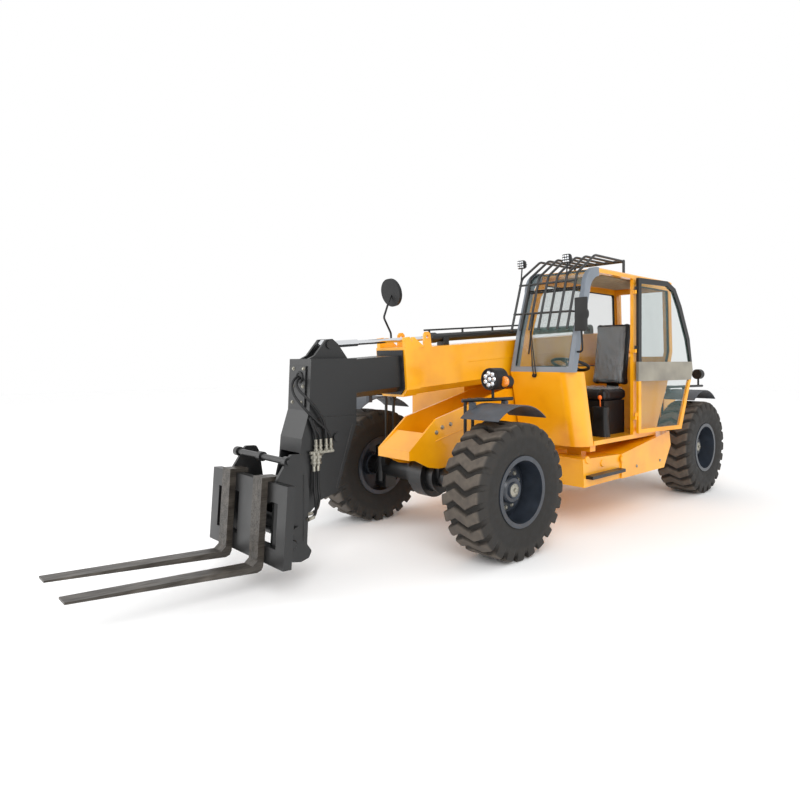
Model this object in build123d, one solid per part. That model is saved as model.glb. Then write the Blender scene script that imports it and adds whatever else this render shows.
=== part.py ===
from build123d import *
from math import atan2, cos, degrees, hypot, radians, sin, tan
import os

# Telehandler with a fork carriage, in millimetres.
# Each piece is drawn with the front axle at x = 0, X forward, Y to the driver's left and Z up
# from the ground. Writing moves it so that the origin is below the middle of the machine.

# ---- machine layout
wheelbase = 3440
track = 1752
fork_reach = 2940            # fork tips ahead of the front axle
tail_overhang = 750          # counterweight's rear face behind the rear axle
tail_reach = wheelbase + tail_overhang
front_axle_x = (tail_reach - fork_reach) / 2
seat_gap = 0.3               # gap left between pieces that sit or turn on each other
pin_clearance = 0.06         # radial play of a pin in its eye

# ---- wheels
tyre_radius = 537.5          # out to the lugs' tips
tyre_width = 400
lug_height = 36
bead_radius = 256
flange_radius = 280
rim_wall = 12
rim_half_width = 186
disc_face = 22               # outer face of the wheel disc, outboard of the tyre's middle
disc_thickness = 16
hub_radius = 108
hub_nose = 96                # hub's reach outboard of the tyre's middle
hub_root = -70               # hub's inner face
wheel_y = track / 2
axle_z = tyre_radius

# ---- axles and knuckles
kingpin_y = 700
kingpin_radius = 58
kingpin_half = 150
spindle_radius = 92
axle_half = 88               # radius of the axle tube
diff_radius = 190
diff_length = 330
steer_limit = 35

# ---- chassis
plate_half = 205             # outer faces of the two long side plates
plate_thickness = 20
trough_half = plate_half - plate_thickness
frame_bottom = 430
frame_deck = 1285            # top edge of the side plates behind the nose
saddle_z = axle_z + axle_half         # underside of the frame over both axles, on the axle tubes
rear_deck_z = 760            # rear cross floor, over the differential
frame_overhang = 420         # side plates' reach behind the rear axle
lip_x = 430
lip_low_z = 730
lip_top_z = 805
nose_knee = (125, 1055)      # bend in the side plates' top edge
nose_run = (-660, 1254)
tower_top_z = 1880
floor_thickness = 14

# ---- boom
pivot_x = 190 - wheelbase
pivot_z = 1734
boom_pitch = 4.2             # droop of the parked boom, degrees
outer_half = 180
outer_depth = 394
outer_wall = 12
outer_front = 3710           # along the boom from its pivot
outer_rear = 120
outer_chamfer = 55
inner_half = 140
inner_depth = 302
inner_wall = 10
inner_drop = 8               # the inner boom's axis lies this far below the outer boom's
inner_rear = 520
inner_front = 4186
inner_chamfer = 42
collar_length = 150
collar_grow = 10
boom_pin_radius = 50
boom_boss_radius = 115
extend_travel = 2400
pad_length = 60
pad_reach = 14
rail_start = 1900

# ---- cylinders
extension_lift = 268         # extension cylinder's axis above the boom's axis
extension_barrel_radius = 38
extension_rod_radius = 20
extension_barrel = (600, 3255)
extension_eye_u = 4352
lift_base = (440 - wheelbase, 520)
lift_lug_u = 1300            # along the boom
lift_lug_drop = 85
lift_barrel_radius = 75
lift_rod_radius = 38
lift_barrel_length = 1200
tilt_base = (1105, 985)
tilt_eye_local = (-65, 220)   # from the carriage's pin, with the carriage upright
tilt_barrel_radius = 48
tilt_rod_radius = 26
tilt_barrel_length = 438
cylinder_pin_radius = 32
eye_radius = 62
eye_half = 34
gland_gap = 0.06

# ---- head and carriage
head_half = 150
head_plate = 20
carriage_pin = (1565, 400)
carriage_pin_radius = 36
carriage_tilt = 3.5          # forks' tips raised when parked
cross_tube_radius = 70
carriage_plate_in = 310
carriage_plate_thickness = 25
frame_front = 196            # carriage frame's front face ahead of the pin
frame_half = 540
fork_y = 230
fork_width = 120
fork_thickness = 45
fork_length = 1135
fork_heel = -245             # underside of the fork below the pin

# ---- cab
cab_in = 235                 # inner wall's outer face
cab_out = 940                # door side's outer face
cab_wall = 34
cab_floor_z = 765
cab_floor_thickness = 42
cab_front_low_x = -1000
cab_front_belt_x = -845
belt_z = 1455
roof_z = 2440
roof_thickness = 46
roof_rear_x = -2790
screen_mid = (-935, 1820)
screen_top = (-1062, 2230)
roof_front_x = -1300
door_front_low_x = -1200
door_front_belt_x = -1035
b_pillar = (-2050, -1945)
glass_thickness = 6
pillar_depth = 80

cab_mounts = ((-1250, 900), (-2130, 540))     # x and outer end of the arms under the cab

guard_y = (228, 872)         # outer bars of the screen guard

# ---- door
door_hinge = (-1936, 972)
door_open = 171              # turned this far from closed when parked
door_thickness = 30
hinge_heights = (960, 1640, 2240)
hinge_knuckle = 36
hinge_radius = 12

# ---- engine pod
pod_front = -710
pod_rear = 750 - wheelbase
pod_in = -262
pod_out = -1055
pod_mounts = (pod_front - 350, pod_rear + 370)
pod_floor_z = 470
pod_split_z = 1010
pod_top_z = 1440
hood_wall = 5
hood_open = 60
hood_hinge_x = (pod_rear + 350, pod_front - 350)
hood_knuckle_length = 60

# ---- side box, fenders, lamps
box_out = 1000
tank_rear = 780 - wheelbase
post_y = 520                 # fender posts, inboard of the steered tyre
post_pad_z = 104             # top of the posts' pads above the axle's centre
post_gauge = (0, 90)
post_radius = 14
bar_radius = 15
bar_z = 1240
fender_y = (655, 1050)
fender_thickness = 7
headlamp = (-50, 700, 1408)
headlamp_radius = 92

nodes = {}


def keep(name, *solids):
    """Collects a node; several solids in it stand apart on one body."""
    nodes[name] = solids[0] if len(solids) == 1 else Compound(children=list(solids))


def block(x, y, z):
    """Box between three pairs of limits."""
    centre = Pos((x[0] + x[1]) / 2, (y[0] + y[1]) / 2, (z[0] + z[1]) / 2)
    return centre * Box(abs(x[1] - x[0]), abs(y[1] - y[0]), abs(z[1] - z[0]))


def slab(points, y, corner=0, inset=0):
    """Plate with an (x, z) outline, between two values of y."""
    low, high = min(y), max(y)
    outline = make_face(Polyline(*[(px, low, pz) for px, pz in points], close=True))
    if corner:
        outline = fillet(outline.vertices(), corner)
    if inset:
        outline = offset(outline, -inset)
    return extrude(outline, amount=high - low, dir=(0, 1, 0))


def mirrored(solid):
    """The same piece on the machine's other side."""
    return mirror(solid, about=Plane.XZ)


def rod_between(start, end, radius):
    """Round bar between two points."""
    axis = Vector(*end) - Vector(*start)
    return Plane(origin=start, z_dir=axis) * Cylinder(radius, axis.length, align=(Align.CENTER, Align.CENTER, Align.MIN))


def cross_pin(x, z, radius, y):
    """Round bar across the machine."""
    return rod_between((x, min(y), z), (x, max(y), z), radius)


def bent_tube(points, radius, bend):
    """Round tube along straight runs joined by arcs."""
    path = FilletPolyline(*points, radius=bend)
    return sweep(Plane(origin=path @ 0, z_dir=path % 0) * Circle(radius), path=path)


def turned(profile):
    """Solid of revolution about the wheel's axis from (radius, y) points."""
    outline = make_face(Polyline(*[(r, y, 0) for r, y in profile], close=True))
    return revolve(outline, axis=Axis.Y)


# ---------------------------------------------------------------- wheels, knuckles, axles
def tyre():
    half = tyre_width / 2
    outline = make_face(Polyline(
        (bead_radius + seat_gap, -half + 42, 0), (flange_radius + 20, -half + 14, 0),
        (420, -half, 0), (tyre_radius - 22, -half + 6, 0), (tyre_radius, -half + 34, 0),
        (tyre_radius, half - 34, 0), (tyre_radius - 22, half - 6, 0), (420, half, 0),
        (flange_radius + 20, half - 14, 0), (bead_radius + seat_gap, half - 42, 0), close=True))
    return revolve(outline, axis=Axis.Y)


def rim():
    half = rim_half_width
    bead = bead_radius
    wall = rim_wall
    barrel = turned([
        (bead - wall, -half), (flange_radius, -half), (flange_radius, -half + 10), (bead, -half + 22),
        (bead, half - 22), (flange_radius, half - 10), (flange_radius, half), (bead - wall, half)])
    disc = turned([
        (0, disc_face - disc_thickness), (bead - wall + 1, disc_face - disc_thickness - 40),
        (bead - wall + 1, disc_face - 40), (180, disc_face), (0, disc_face)])
    hub = turned([
        (0, hub_root), (hub_radius, hub_root), (hub_radius, hub_nose - 26), (hub_radius - 14, hub_nose - 12),
        (66, hub_nose - 12), (60, hub_nose), (0, hub_nose)])
    return barrel + disc + hub


def knuckle():
    """Left knuckle about the wheel's centre: boss on the kingpin, spindle and steering arm."""
    pin_y = kingpin_y - wheel_y
    boss = Pos(0, pin_y, 0) * Cylinder(kingpin_radius, 2 * kingpin_half)
    spindle = rod_between((0, pin_y, 0), (0, hub_root - seat_gap, 0), spindle_radius)
    arm = block((-190, 0), (pin_y - 24, pin_y + 24), (-26, 10)) + Pos(-190, pin_y, -8) * Cylinder(30, 36)
    return boss + spindle + arm


def axle():
    """Axle beam with its differential bulge, yokes for the kingpins and pads under the frame."""
    web = kingpin_y - 110
    beam = rod_between((0, -web, 0), (0, web, 0), axle_half)
    bulge = Rot(90, 0, 0) * Cylinder(diff_radius, 150) + Rot(90, 0, 0) * Cylinder(diff_radius - 50, diff_length)
    beam += bulge
    for side in (-1, 1):
        yoke = block((-62, 62), (side * (web - 30), side * web), (-kingpin_half - 42, kingpin_half + 42))
        for end in (-1, 1):
            low = end * (kingpin_half + seat_gap)
            high = end * (kingpin_half + 42)
            yoke += block((-62, 62), (side * (web - 30), side * kingpin_y), (low, high))
            yoke += Pos(0, side * kingpin_y, (low + high) / 2) * Cylinder(62, abs(high - low))
            yoke += Pos(0, side * kingpin_y, end * (kingpin_half + 46)) * Cylinder(34, 20)
        beam += yoke
        beam += block((-95, 95), (side * 130, side * plate_half), (0, saddle_z - axle_z))
        beam += block((-50, 125), (side * (post_y - 30), side * (post_y + 30)), (40, post_pad_z))
    return Pos(0, 0, axle_z) * beam


for end, axle_x in (("front", 0), ("rear", -wheelbase)):
    keep("axle_" + end, Pos(axle_x, 0, 0) * axle())
    for side in ("left", "right"):
        pieces = {"tyre": tyre(), "rim": rim(), "knuckle": knuckle()}
        for piece, solid in pieces.items():
            solid = Pos(0, wheel_y, axle_z) * solid
            solid = solid if side == "left" else mirrored(solid)
            keep(f"{piece}_{end}_{side}", Pos(axle_x, 0, 0) * solid)

# ---------------------------------------------------------------- chassis
side_outline = [
    (lip_x, lip_low_z), (lip_x, lip_top_z), nose_knee, nose_run, (nose_run[0] - 140, frame_deck),
    (pivot_x + 420, frame_deck), (pivot_x + 150, tower_top_z), (pivot_x - 150, tower_top_z),
    (pivot_x - 330, frame_deck), (-wheelbase - frame_overhang, 1120), (-wheelbase - frame_overhang, saddle_z),
    (-wheelbase + 160, saddle_z), (pivot_x + 150, frame_bottom), (-700, frame_bottom),
    (-330, saddle_z), (95, saddle_z), (209, 648), (361, 723)]


def chassis():
    frame = None
    for side in (-1, 1):
        plate = slab(side_outline, (side * trough_half, side * plate_half))
        frame = plate if frame is None else frame + plate
    inside = (-trough_half, trough_half)
    frame += block((pivot_x + 150, -700), inside, (frame_bottom, frame_bottom + floor_thickness))
    slope = tan(radians(36))
    frame += slab([
        (lip_x, lip_low_z), (lip_x, lip_top_z), (lip_x - 190, lip_top_z + 190 * slope),
        (lip_x - 190, lip_top_z + 190 * slope - 16), (lip_x - 14, lip_top_z - 16), (lip_x - 14, lip_low_z)], inside)
    frame += block((-330, lip_x - 14), inside, (lip_low_z, lip_low_z + floor_thickness))
    frame += block((-wheelbase - frame_overhang, -wheelbase + 100), inside, (rear_deck_z, rear_deck_z + floor_thickness))
    pin = cross_pin(pivot_x, pivot_z, boom_pin_radius, (-plate_half - 30, plate_half + 30))
    frame += pin
    for side in (-1, 1):
        frame += cross_pin(pivot_x, pivot_z, 95, (side * trough_half, side * (plate_half + 18)))
    base_x, base_z = lift_base
    frame += cross_pin(base_x, base_z, cylinder_pin_radius, inside)
    for side in (-1, 1):
        frame += cross_pin(base_x, base_z, 55, (side * (eye_half + 1), side * trough_half))
    for x, reach in cab_mounts:
        frame += block((x - 45, x + 45), (plate_half, reach), (cab_floor_z - 62, cab_floor_z - seat_gap))
    for x in pod_mounts:
        frame += block((x - 60, x + 60), (-plate_half, pod_in + seat_gap), (pod_floor_z + 30, pod_floor_z + 260))
    return frame


keep("chassis_frame", chassis())
counterweight_x = -wheelbase - frame_overhang - seat_gap
counterweight = slab([
    (counterweight_x, 560), (-tail_reach + 50, 520), (-tail_reach, 600), (-tail_reach, 1040),
    (-tail_reach + 60, 1110), (counterweight_x, 1110)], (-340, 340))
keep("counterweight", counterweight)


# ---------------------------------------------------------------- boom
def on_boom(solid):
    """Places a piece drawn along the boom (x from the pivot, z above the boom's axis)."""
    return Pos(pivot_x, 0, pivot_z) * Rot(0, boom_pitch, 0) * solid


def boom_point(u, w):
    """Machine (x, z) of a point on the boom."""
    c, s = cos(radians(boom_pitch)), sin(radians(boom_pitch))
    return (pivot_x + u * c + w * s, pivot_z - u * s + w * c)


def section_prism(u, half, depth, cut, centre=0):
    """Solid length of boom section, its lower corners cut."""
    low, high = centre - depth / 2, centre + depth / 2
    points = [(u[0], -half, high), (u[0], half, high), (u[0], half, low + cut), (u[0], half - cut, low),
              (u[0], -half + cut, low), (u[0], -half, low + cut)]
    return extrude(make_face(Polyline(*points, close=True)), amount=u[1] - u[0], dir=(1, 0, 0))


def boom_tube(u, half, depth, cut, wall, centre=0):
    """Hollow length of boom section."""
    corner = cut - wall * (2 - 2 ** 0.5)
    return section_prism(u, half, depth, cut, centre) - section_prism(
        u, half - wall, depth - 2 * wall, corner, centre)


def boom_outer():
    tube = boom_tube((outer_rear + 180, outer_front), outer_half, outer_depth, outer_chamfer, outer_wall)
    collar = boom_tube((outer_front - collar_length, outer_front), outer_half + collar_grow,
                       outer_depth + 2 * collar_grow, outer_chamfer + 4, outer_wall + collar_grow)
    tube += collar
    top = outer_depth / 2
    for side in (-1, 1):
        lug = slab([(0, -95), (outer_rear + 420, -outer_depth / 2 + 40), (outer_rear + 420, top - 40), (0, 95)],
                   (side * (outer_half - outer_wall - 24), side * (outer_half - outer_wall)))
        lug += cross_pin(0, 0, boom_boss_radius, (side * (outer_half - 60), side * (trough_half - seat_gap)))
        tube += lug
    back = block((outer_rear + 60, outer_rear + 80), (-outer_half + outer_wall, outer_half - outer_wall), (-110, 110))
    tube += back
    tube -= cross_pin(0, 0, boom_pin_radius + pin_clearance, (-outer_half - 60, outer_half + 60))
    lug_u, lug_w = lift_lug_u, -outer_depth / 2 - lift_lug_drop
    for side in (-1, 1):
        ear = slab([(lug_u - 130, -outer_depth / 2 + 4), (lug_u - 45, lug_w - 50), (lug_u + 45, lug_w - 50),
                    (lug_u + 130, -outer_depth / 2 + 4)], (side * (eye_half + 6), side * (eye_half + 28)), 0)
        ear += cross_pin(lug_u, lug_w, 44, (side * (eye_half + 6), side * (eye_half + 42)))
        tube += ear
    for side in (-1, 1):
        fore = slab([(outer_front - 10, top), (outer_front - 10, top + 92), (outer_front - 60, top + 96),
                     (outer_front - 78, top + 50), (outer_front - 110, top + 92), (outer_front - 200, top + 20),
                     (outer_front - 220, top)], (side * 150, side * (outer_half + collar_grow)), 0)
        lift_eye = slab([(outer_front - 225, top - 4), (outer_front - 235, top + 110), (outer_front - 255, top + 130),
                         (outer_front - 285, top + 130), (outer_front - 305, top + 110), (outer_front - 315, top - 4)],
                        (side * 160, side * (outer_half)), 0)
        lift_eye -= cross_pin(outer_front - 270, top + 85, 16, (-300, 300))
        tube += fore
        tube += lift_eye
    return on_boom(tube)



keep("boom_outer_tube", boom_outer())


pad_u = (outer_front - pad_length, outer_front + pad_reach)
pad_ring = section_prism(pad_u, outer_half - outer_wall, outer_depth - 2 * outer_wall,
                         outer_chamfer - outer_wall * (2 - 2 ** 0.5))
pad_ring -= section_prism((pad_u[0] - 1, pad_u[1] + 1), inner_half + seat_gap, inner_depth + 2 * seat_gap,
                          inner_chamfer, -inner_drop)
keep("boom_wear_pads", on_boom(pad_ring))


def extension_barrel_piece():
    start, end = extension_barrel
    lift = extension_lift
    body = rod_between((start, 0, lift), (end, 0, lift), extension_barrel_radius)
    body += rod_between((end - 70, 0, lift), (end, 0, lift), extension_barrel_radius + 9)
    top = outer_depth / 2
    for u in (start + 40, end - 170):
        body += block((u - 35, u + 35), (-44, 44), (top, lift))
    rail_w = lift + extension_barrel_radius + 26
    body += block((rail_start, outer_front - 400), (-9, 9), (rail_w, rail_w + 16))
    for post in range(4):
        u = rail_start + 60 + post * (outer_front - 520 - rail_start) / 3
        body += block((u - 5, u + 5), (-9, 9), (lift + extension_barrel_radius - 8, rail_w))
    body -= rod_between((start + 60, 0, lift), (end + 1, 0, lift), extension_rod_radius + gland_gap)
    return on_boom(body)


keep("extension_barrel", extension_barrel_piece())

mirror_u, mirror_y = 3520, -198
mirror_arm = bent_tube([(mirror_u, mirror_y - 14, 40), (mirror_u, mirror_y - 14, 330), (mirror_u + 70, mirror_y - 14, 470),
                        (mirror_u - 40, mirror_y - 14, 700)], 9, 40)
mirror_arm += block((mirror_u - 20, mirror_u + 20), (mirror_y - 20, -outer_half), (20, 120))
mirror_disc = Pos(mirror_u - 34, mirror_y - 14, 690) * Rot(0, 100, 25) * Cylinder(125, 30)
keep("boom_mirror", on_boom(mirror_arm + mirror_disc))

# ---------------------------------------------------------------- inner boom, head, extension rod
inner_tube = boom_tube((inner_rear, inner_front), inner_half, inner_depth, inner_chamfer, inner_wall, -inner_drop)

head_outline = [(920, 1579), (1325, 1573), (1340, 1194), (1402, 996), (1416, 823), (1470, 600), (1545, 480),
                (1640, 430), (1640, 370), (1560, 320), (1480, 330), (1250, 530), (1100, 570), (922, 1074)]
head_cavity = [(920 + head_plate, 1579 - head_plate), (1325 - head_plate, 1573 - head_plate),
               (1340 - head_plate, 1194), (1402 - head_plate, 996), (1391, 895), (1700, 895), (1700, 250),
               (1480, 250), (1480, 358), (1262, 552), (1115, 590), (944, 1078)]


def head():
    inside = head_half - head_plate
    body = slab(head_outline, (-head_half, head_half)) - slab(head_cavity, (-inside, inside))
    pin_x, pin_z = carriage_pin
    body += cross_pin(pin_x, pin_z, cross_tube_radius, (-carriage_plate_in + seat_gap, carriage_plate_in - seat_gap))
    reach = carriage_plate_in + carriage_plate_thickness + 30
    body += cross_pin(pin_x, pin_z, carriage_pin_radius, (-reach, reach))
    base_x, base_z = tilt_base
    body += cross_pin(base_x, base_z, cylinder_pin_radius, (-head_half - 16, head_half + 16))
    for side in (-1, 1):
        body += cross_pin(base_x, base_z, 52, (side * (eye_half + 1), side * inside))
    eye_x, eye_z = boom_point(extension_eye_u, extension_lift)
    for side in (-1, 1):
        horn = slab([(940, 1570), (1035, 1690), (eye_x - 25, eye_z + 45), (eye_x + 30, eye_z + 40),
                     (1240, 1600), (1300, 1570)], (side * 42, side * 66))
        horn += cross_pin(eye_x, eye_z, 34, (side * 42, side * 78))
        body += horn
    body += cross_pin(eye_x, eye_z, 22, (-60, 60))
    cover = slab([(1326, 1520), (1338, 1520), (1350.5, 1215), (1338.5, 1215)], (-95, 95))
    return body + cover


keep("boom_head", head())
keep("boom_inner_tube", on_boom(inner_tube) - slab(head_outline, (-head_half, head_half)))

rod_start = extension_barrel[0] + 90
rod = rod_between((rod_start, 0, extension_lift), (extension_eye_u - 60, 0, extension_lift), extension_rod_radius)
rod += rod_between((extension_eye_u - 300, 0, extension_lift), (extension_eye_u - 30, 0, extension_lift), 28)
rod += cross_pin(extension_eye_u, extension_lift, 40, (-38, 38))
rod -= cross_pin(extension_eye_u, extension_lift, 22 + pin_clearance, (-80, 80))
keep("extension_rod", on_boom(rod))


# ---------------------------------------------------------------- carriage and forks
def on_carriage(solid):
    """Places a piece drawn with the carriage upright and its pin at the origin."""
    return Pos(carriage_pin[0], 0, carriage_pin[1]) * Rot(0, -carriage_tilt, 0) * solid


def carriage():
    plate_y = (carriage_plate_in, carriage_plate_in + carriage_plate_thickness)
    body = None
    front, back = frame_front, frame_front - 60
    for side in (-1, 1):
        plate = slab([(front - 30, -185), (front - 30, 345), (65, 520), (-20, 520), (-50, 470), (-95, 260),
                      (-100, -100), (-140, -150), (-120, -195), (-60, -215)], (side * plate_y[0], side * plate_y[1]), 20)
        plate -= cross_pin(0, 0, carriage_pin_radius + pin_clearance, (-400, 400))
        body = plate if body is None else body + plate
    for half in (frame_half - 55, 55):
        for side in (-1, 1):
            body += block((back, front), (side * half - 55, side * half + 55), (-185, 345))
    for low, high in ((222, 345), (-185, -72)):
        body += block((back, front), (-frame_half, frame_half), (low, high))
    bar_p, bar_q = 100, 478
    body += cross_pin(bar_p, bar_q, 22, (-395, 395))
    for y in (-350, 0, 350):
        body += cross_pin(bar_p, bar_q, 34, (y - 24, y + 24))
    eye_p, eye_q = tilt_eye_local
    for side in (-1, 1):
        ear = slab([(back, eye_q - 90), (eye_p + 10, eye_q - 42), (eye_p + 10, eye_q + 42), (back, eye_q + 90)],
                   (side * (eye_half + 6), side * (eye_half + 26)))
        ear += cross_pin(eye_p, eye_q, 40, (side * (eye_half + 6), side * (eye_half + 40)))
        body += ear
    return body


keep("carriage_frame", on_carriage(carriage()))


def fork(y):
    heel, front, thick = fork_heel, frame_front + seat_gap, fork_thickness
    top = heel + thick
    profile = [(front, 350), (front, heel + 40), (front + 12, heel + 12), (front + 40, heel),
               (front + fork_length, top - 12), (front + fork_length, top), (front + thick + 30, top),
               (front + thick, top + 30), (front + thick, 350)]
    body = slab(profile, (y - fork_width / 2, y + fork_width / 2))
    body += block((frame_front - 90, front + thick), (y - fork_width / 2, y + fork_width / 2),
                  (345 + seat_gap, 375))
    return body


keep("forks", on_carriage(fork(fork_y)), on_carriage(fork(-fork_y)))


# ---------------------------------------------------------------- lift and tilt cylinders
def cylinder_pair(base, eye, barrel_radius, rod_radius, barrel_length, base_pin):
    """Barrel and rod between two machine points, drawn along X and turned into place."""
    length = hypot(eye[0] - base[0], eye[1] - base[1])
    barrel = rod_between((eye_radius, 0, 0), (barrel_length, 0, 0), barrel_radius)
    barrel += rod_between((0, 0, 0), (eye_radius + 10, 0, 0), eye_half - 2)
    barrel += rod_between((barrel_length - 50, 0, 0), (barrel_length, 0, 0), barrel_radius + 8)
    barrel += cross_pin(0, 0, eye_radius, (-eye_half, eye_half))
    barrel -= cross_pin(0, 0, base_pin + pin_clearance, (-200, 200))
    barrel -= rod_between((eye_radius + 30, 0, 0), (barrel_length + 1, 0, 0), rod_radius + gland_gap)
    rod_piece = rod_between((eye_radius + 70, 0, 0), (length, 0, 0), rod_radius)
    rod_piece += cross_pin(length, 0, eye_radius - 14, (-eye_half, eye_half))
    turn = degrees(atan2(eye[1] - base[1], eye[0] - base[0]))
    place = Pos(base[0], 0, base[1]) * Rot(0, -turn, 0)
    return place * barrel, place * rod_piece


lift_eye = boom_point(lift_lug_u, -outer_depth / 2 - lift_lug_drop)
lift_barrel, lift_rod = cylinder_pair(lift_base, lift_eye, lift_barrel_radius, lift_rod_radius,
                                      lift_barrel_length, cylinder_pin_radius)
keep("lift_barrel", lift_barrel)
keep("lift_rod", lift_rod)
tilt_eye = tuple(on_carriage(Pos(tilt_eye_local[0], 0, tilt_eye_local[1]) * Sphere(1)).center())[::2]
tilt_barrel, tilt_rod = cylinder_pair(tilt_base, tilt_eye, tilt_barrel_radius, tilt_rod_radius,
                                      tilt_barrel_length, cylinder_pin_radius)
keep("tilt_barrel", tilt_barrel)
keep("tilt_rod", tilt_rod)

# ---------------------------------------------------------------- cab
floor_top = cab_floor_z + cab_floor_thickness
roof_under = roof_z - roof_thickness
rear_profile = [(-2430, floor_top), (-2700, 1300), (-2830, 1660), (roof_rear_x, roof_under)]


def screen_band(inset, depth):
    """Outline between the windscreen's curve set back by inset and the same curve further back by depth."""
    def curve(back):
        low = (cab_front_belt_x - back, 0, belt_z)
        mid = (screen_mid[0] - back, 0, screen_mid[1])
        top = (screen_top[0] - back, 0, screen_top[1] - back * 0.3)
        end = (roof_front_x, 0, roof_z - back)
        bend = (screen_top[0] - back - 62, 0, (screen_top[1] + roof_z) / 2 + 46 - 0.75 * back)
        return low, mid, top, bend, end
    front, rear = curve(inset), curve(inset + depth)
    edges = [Line(front[0], front[1]), Line(front[1], front[2]), ThreePointArc(front[2], front[3], front[4]),
             Line(front[4], rear[4]), ThreePointArc(rear[4], rear[3], rear[2]), Line(rear[2], rear[1]),
             Line(rear[1], rear[0]), Line(rear[0], front[0])]
    return make_face(Wire(edges))


def screen_piece(inset, depth, y):
    return extrude(Pos(0, y[0], 0) * screen_band(inset, depth), amount=y[1] - y[0], dir=(0, 1, 0))


keep("cab_floor", block((-2430, door_front_low_x - 10), (cab_in, cab_out), (cab_floor_z, floor_top)))

side_low = [(x, z) for x, z in rear_profile]
left_outline = [(b_pillar[1], floor_top), (b_pillar[1], roof_under)] + side_low[::-1]
left_wall = slab(left_outline, (cab_out - cab_wall, cab_out))
left_window = [(b_pillar[0], belt_z + 40), (b_pillar[0], roof_under - 60), (roof_rear_x + 60, roof_under - 60),
               (-2765, 1660), (-2700, belt_z + 40)]
left_wall -= slab(left_window, (cab_out - 60, cab_out + 20), 25)
keep("cab_side_left", left_wall)

right_outline = [(-1050, floor_top), (cab_front_belt_x - pillar_depth - 5, belt_z), (screen_mid[0] - pillar_depth - 5, screen_mid[1]),
                 (screen_top[0] - pillar_depth - 20, 2200), (roof_front_x - 20, roof_under)] + side_low[::-1]
right_wall = slab(right_outline, (cab_in, cab_in + cab_wall))
right_wall -= screen_piece(-60, pillar_depth + 60, (cab_in - 10, cab_in + 60))
right_window = [(-1120, belt_z + 40), (-1150, 1830), (-1290, 2210), (-1400, roof_under - 60),
                (roof_rear_x + 60, roof_under - 60), (-2765, 1660), (-2700, belt_z + 40)]
right_wall -= slab(right_window, (cab_in - 20, cab_in + 60), 25)
keep("cab_side_right", right_wall)

inside_y = (cab_in + cab_wall, cab_out - cab_wall)
rear_wall = slab(rear_profile + [(x + cab_wall + 4, z) for x, z in rear_profile[::-1]], inside_y)
rear_wall -= block((-2900, -2650), (inside_y[0] + 50, inside_y[1] - 50), (belt_z + 150, roof_under - 60))
keep("cab_rear", rear_wall)
roof = block((roof_rear_x - 20, roof_front_x), (cab_in, cab_out), (roof_under, roof_z))
roof = chamfer(roof.edges().group_by(Axis.Z)[-1], 14)
keep("cab_roof", roof)

front_frame = screen_piece(0, pillar_depth, (cab_in, cab_in + 42)) + screen_piece(0, pillar_depth, (cab_out - 48, cab_out))
front_frame += slab([(cab_front_belt_x, belt_z), (cab_front_belt_x - 12, belt_z + 48), (cab_front_belt_x - pillar_depth, belt_z + 48),
                     (cab_front_belt_x - pillar_depth, belt_z)], (cab_in, cab_out))
keep("cab_front_frame", front_frame)
windscreen = screen_piece(14, glass_thickness, (cab_in + 42 + seat_gap, cab_out - 48 - seat_gap))
windscreen -= block((-1200, -700), (cab_in, cab_out), (belt_z - 10, belt_z + 48 + seat_gap))

corner = 150
plan_y = (cab_in, cab_out)
front_x = cab_front_low_x
plan = Wire([
    Line((front_x, cab_in, cab_floor_z), (front_x, cab_out - corner, cab_floor_z)),
    RadiusArc((front_x, cab_out - corner, cab_floor_z), (front_x - corner, cab_out, cab_floor_z), -corner),
    Line((front_x - corner, cab_out, cab_floor_z), (door_front_low_x, cab_out, cab_floor_z)),
    Line((door_front_low_x, cab_out, cab_floor_z), (door_front_low_x, cab_out - cab_wall, cab_floor_z)),
    Line((door_front_low_x, cab_out - cab_wall, cab_floor_z), (front_x - corner, cab_out - cab_wall, cab_floor_z)),
    RadiusArc((front_x - corner, cab_out - cab_wall, cab_floor_z),
              (front_x - cab_wall, cab_out - corner, cab_floor_z), corner - cab_wall),
    Line((front_x - cab_wall, cab_out - corner, cab_floor_z), (front_x - cab_wall, cab_in, cab_floor_z)),
    Line((front_x - cab_wall, cab_in, cab_floor_z), (front_x, cab_in, cab_floor_z))])
rise = (cab_front_belt_x - cab_front_low_x, 0, belt_z - cab_floor_z)
front_panel = extrude(make_face(plan), amount=Vector(*rise).length, dir=rise)
keep("cab_front_panel", front_panel)

glass_left = slab(left_window, (cab_out - 20, cab_out - 20 + glass_thickness), 25, seat_gap)
glass_right = slab(right_window, (cab_in + 14, cab_in + 14 + glass_thickness), 25, seat_gap)
keep("cab_glass", glass_left, glass_right, windscreen)

seat_y = 585
seat_x = -1860
back_place = Pos(seat_x - 215, 0, 1274) * Rot(0, -10, 0)
seat_base = block((seat_x - 200, seat_x + 200), (seat_y - 190, seat_y + 190), (floor_top, 1150))
seat_base += block((seat_x - 330, seat_x - 150), (seat_y - 70, seat_y + 70), (1110, 1150))
seat_base += back_place * block((-75, -60 - seat_gap), (seat_y - 70, seat_y + 70), (-130, 420))
keep("seat_base", seat_base)
cushion = fillet(block((seat_x - 240, seat_x + 250), (seat_y - 235, seat_y + 235), (1150.3, 1270)).edges(), 30)
keep("seat_cushion", cushion)
back = fillet(block((-60, 60), (seat_y - 225, seat_y + 225), (0, 720)).edges(), 40)
keep("seat_back", back_place * back)

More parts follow.
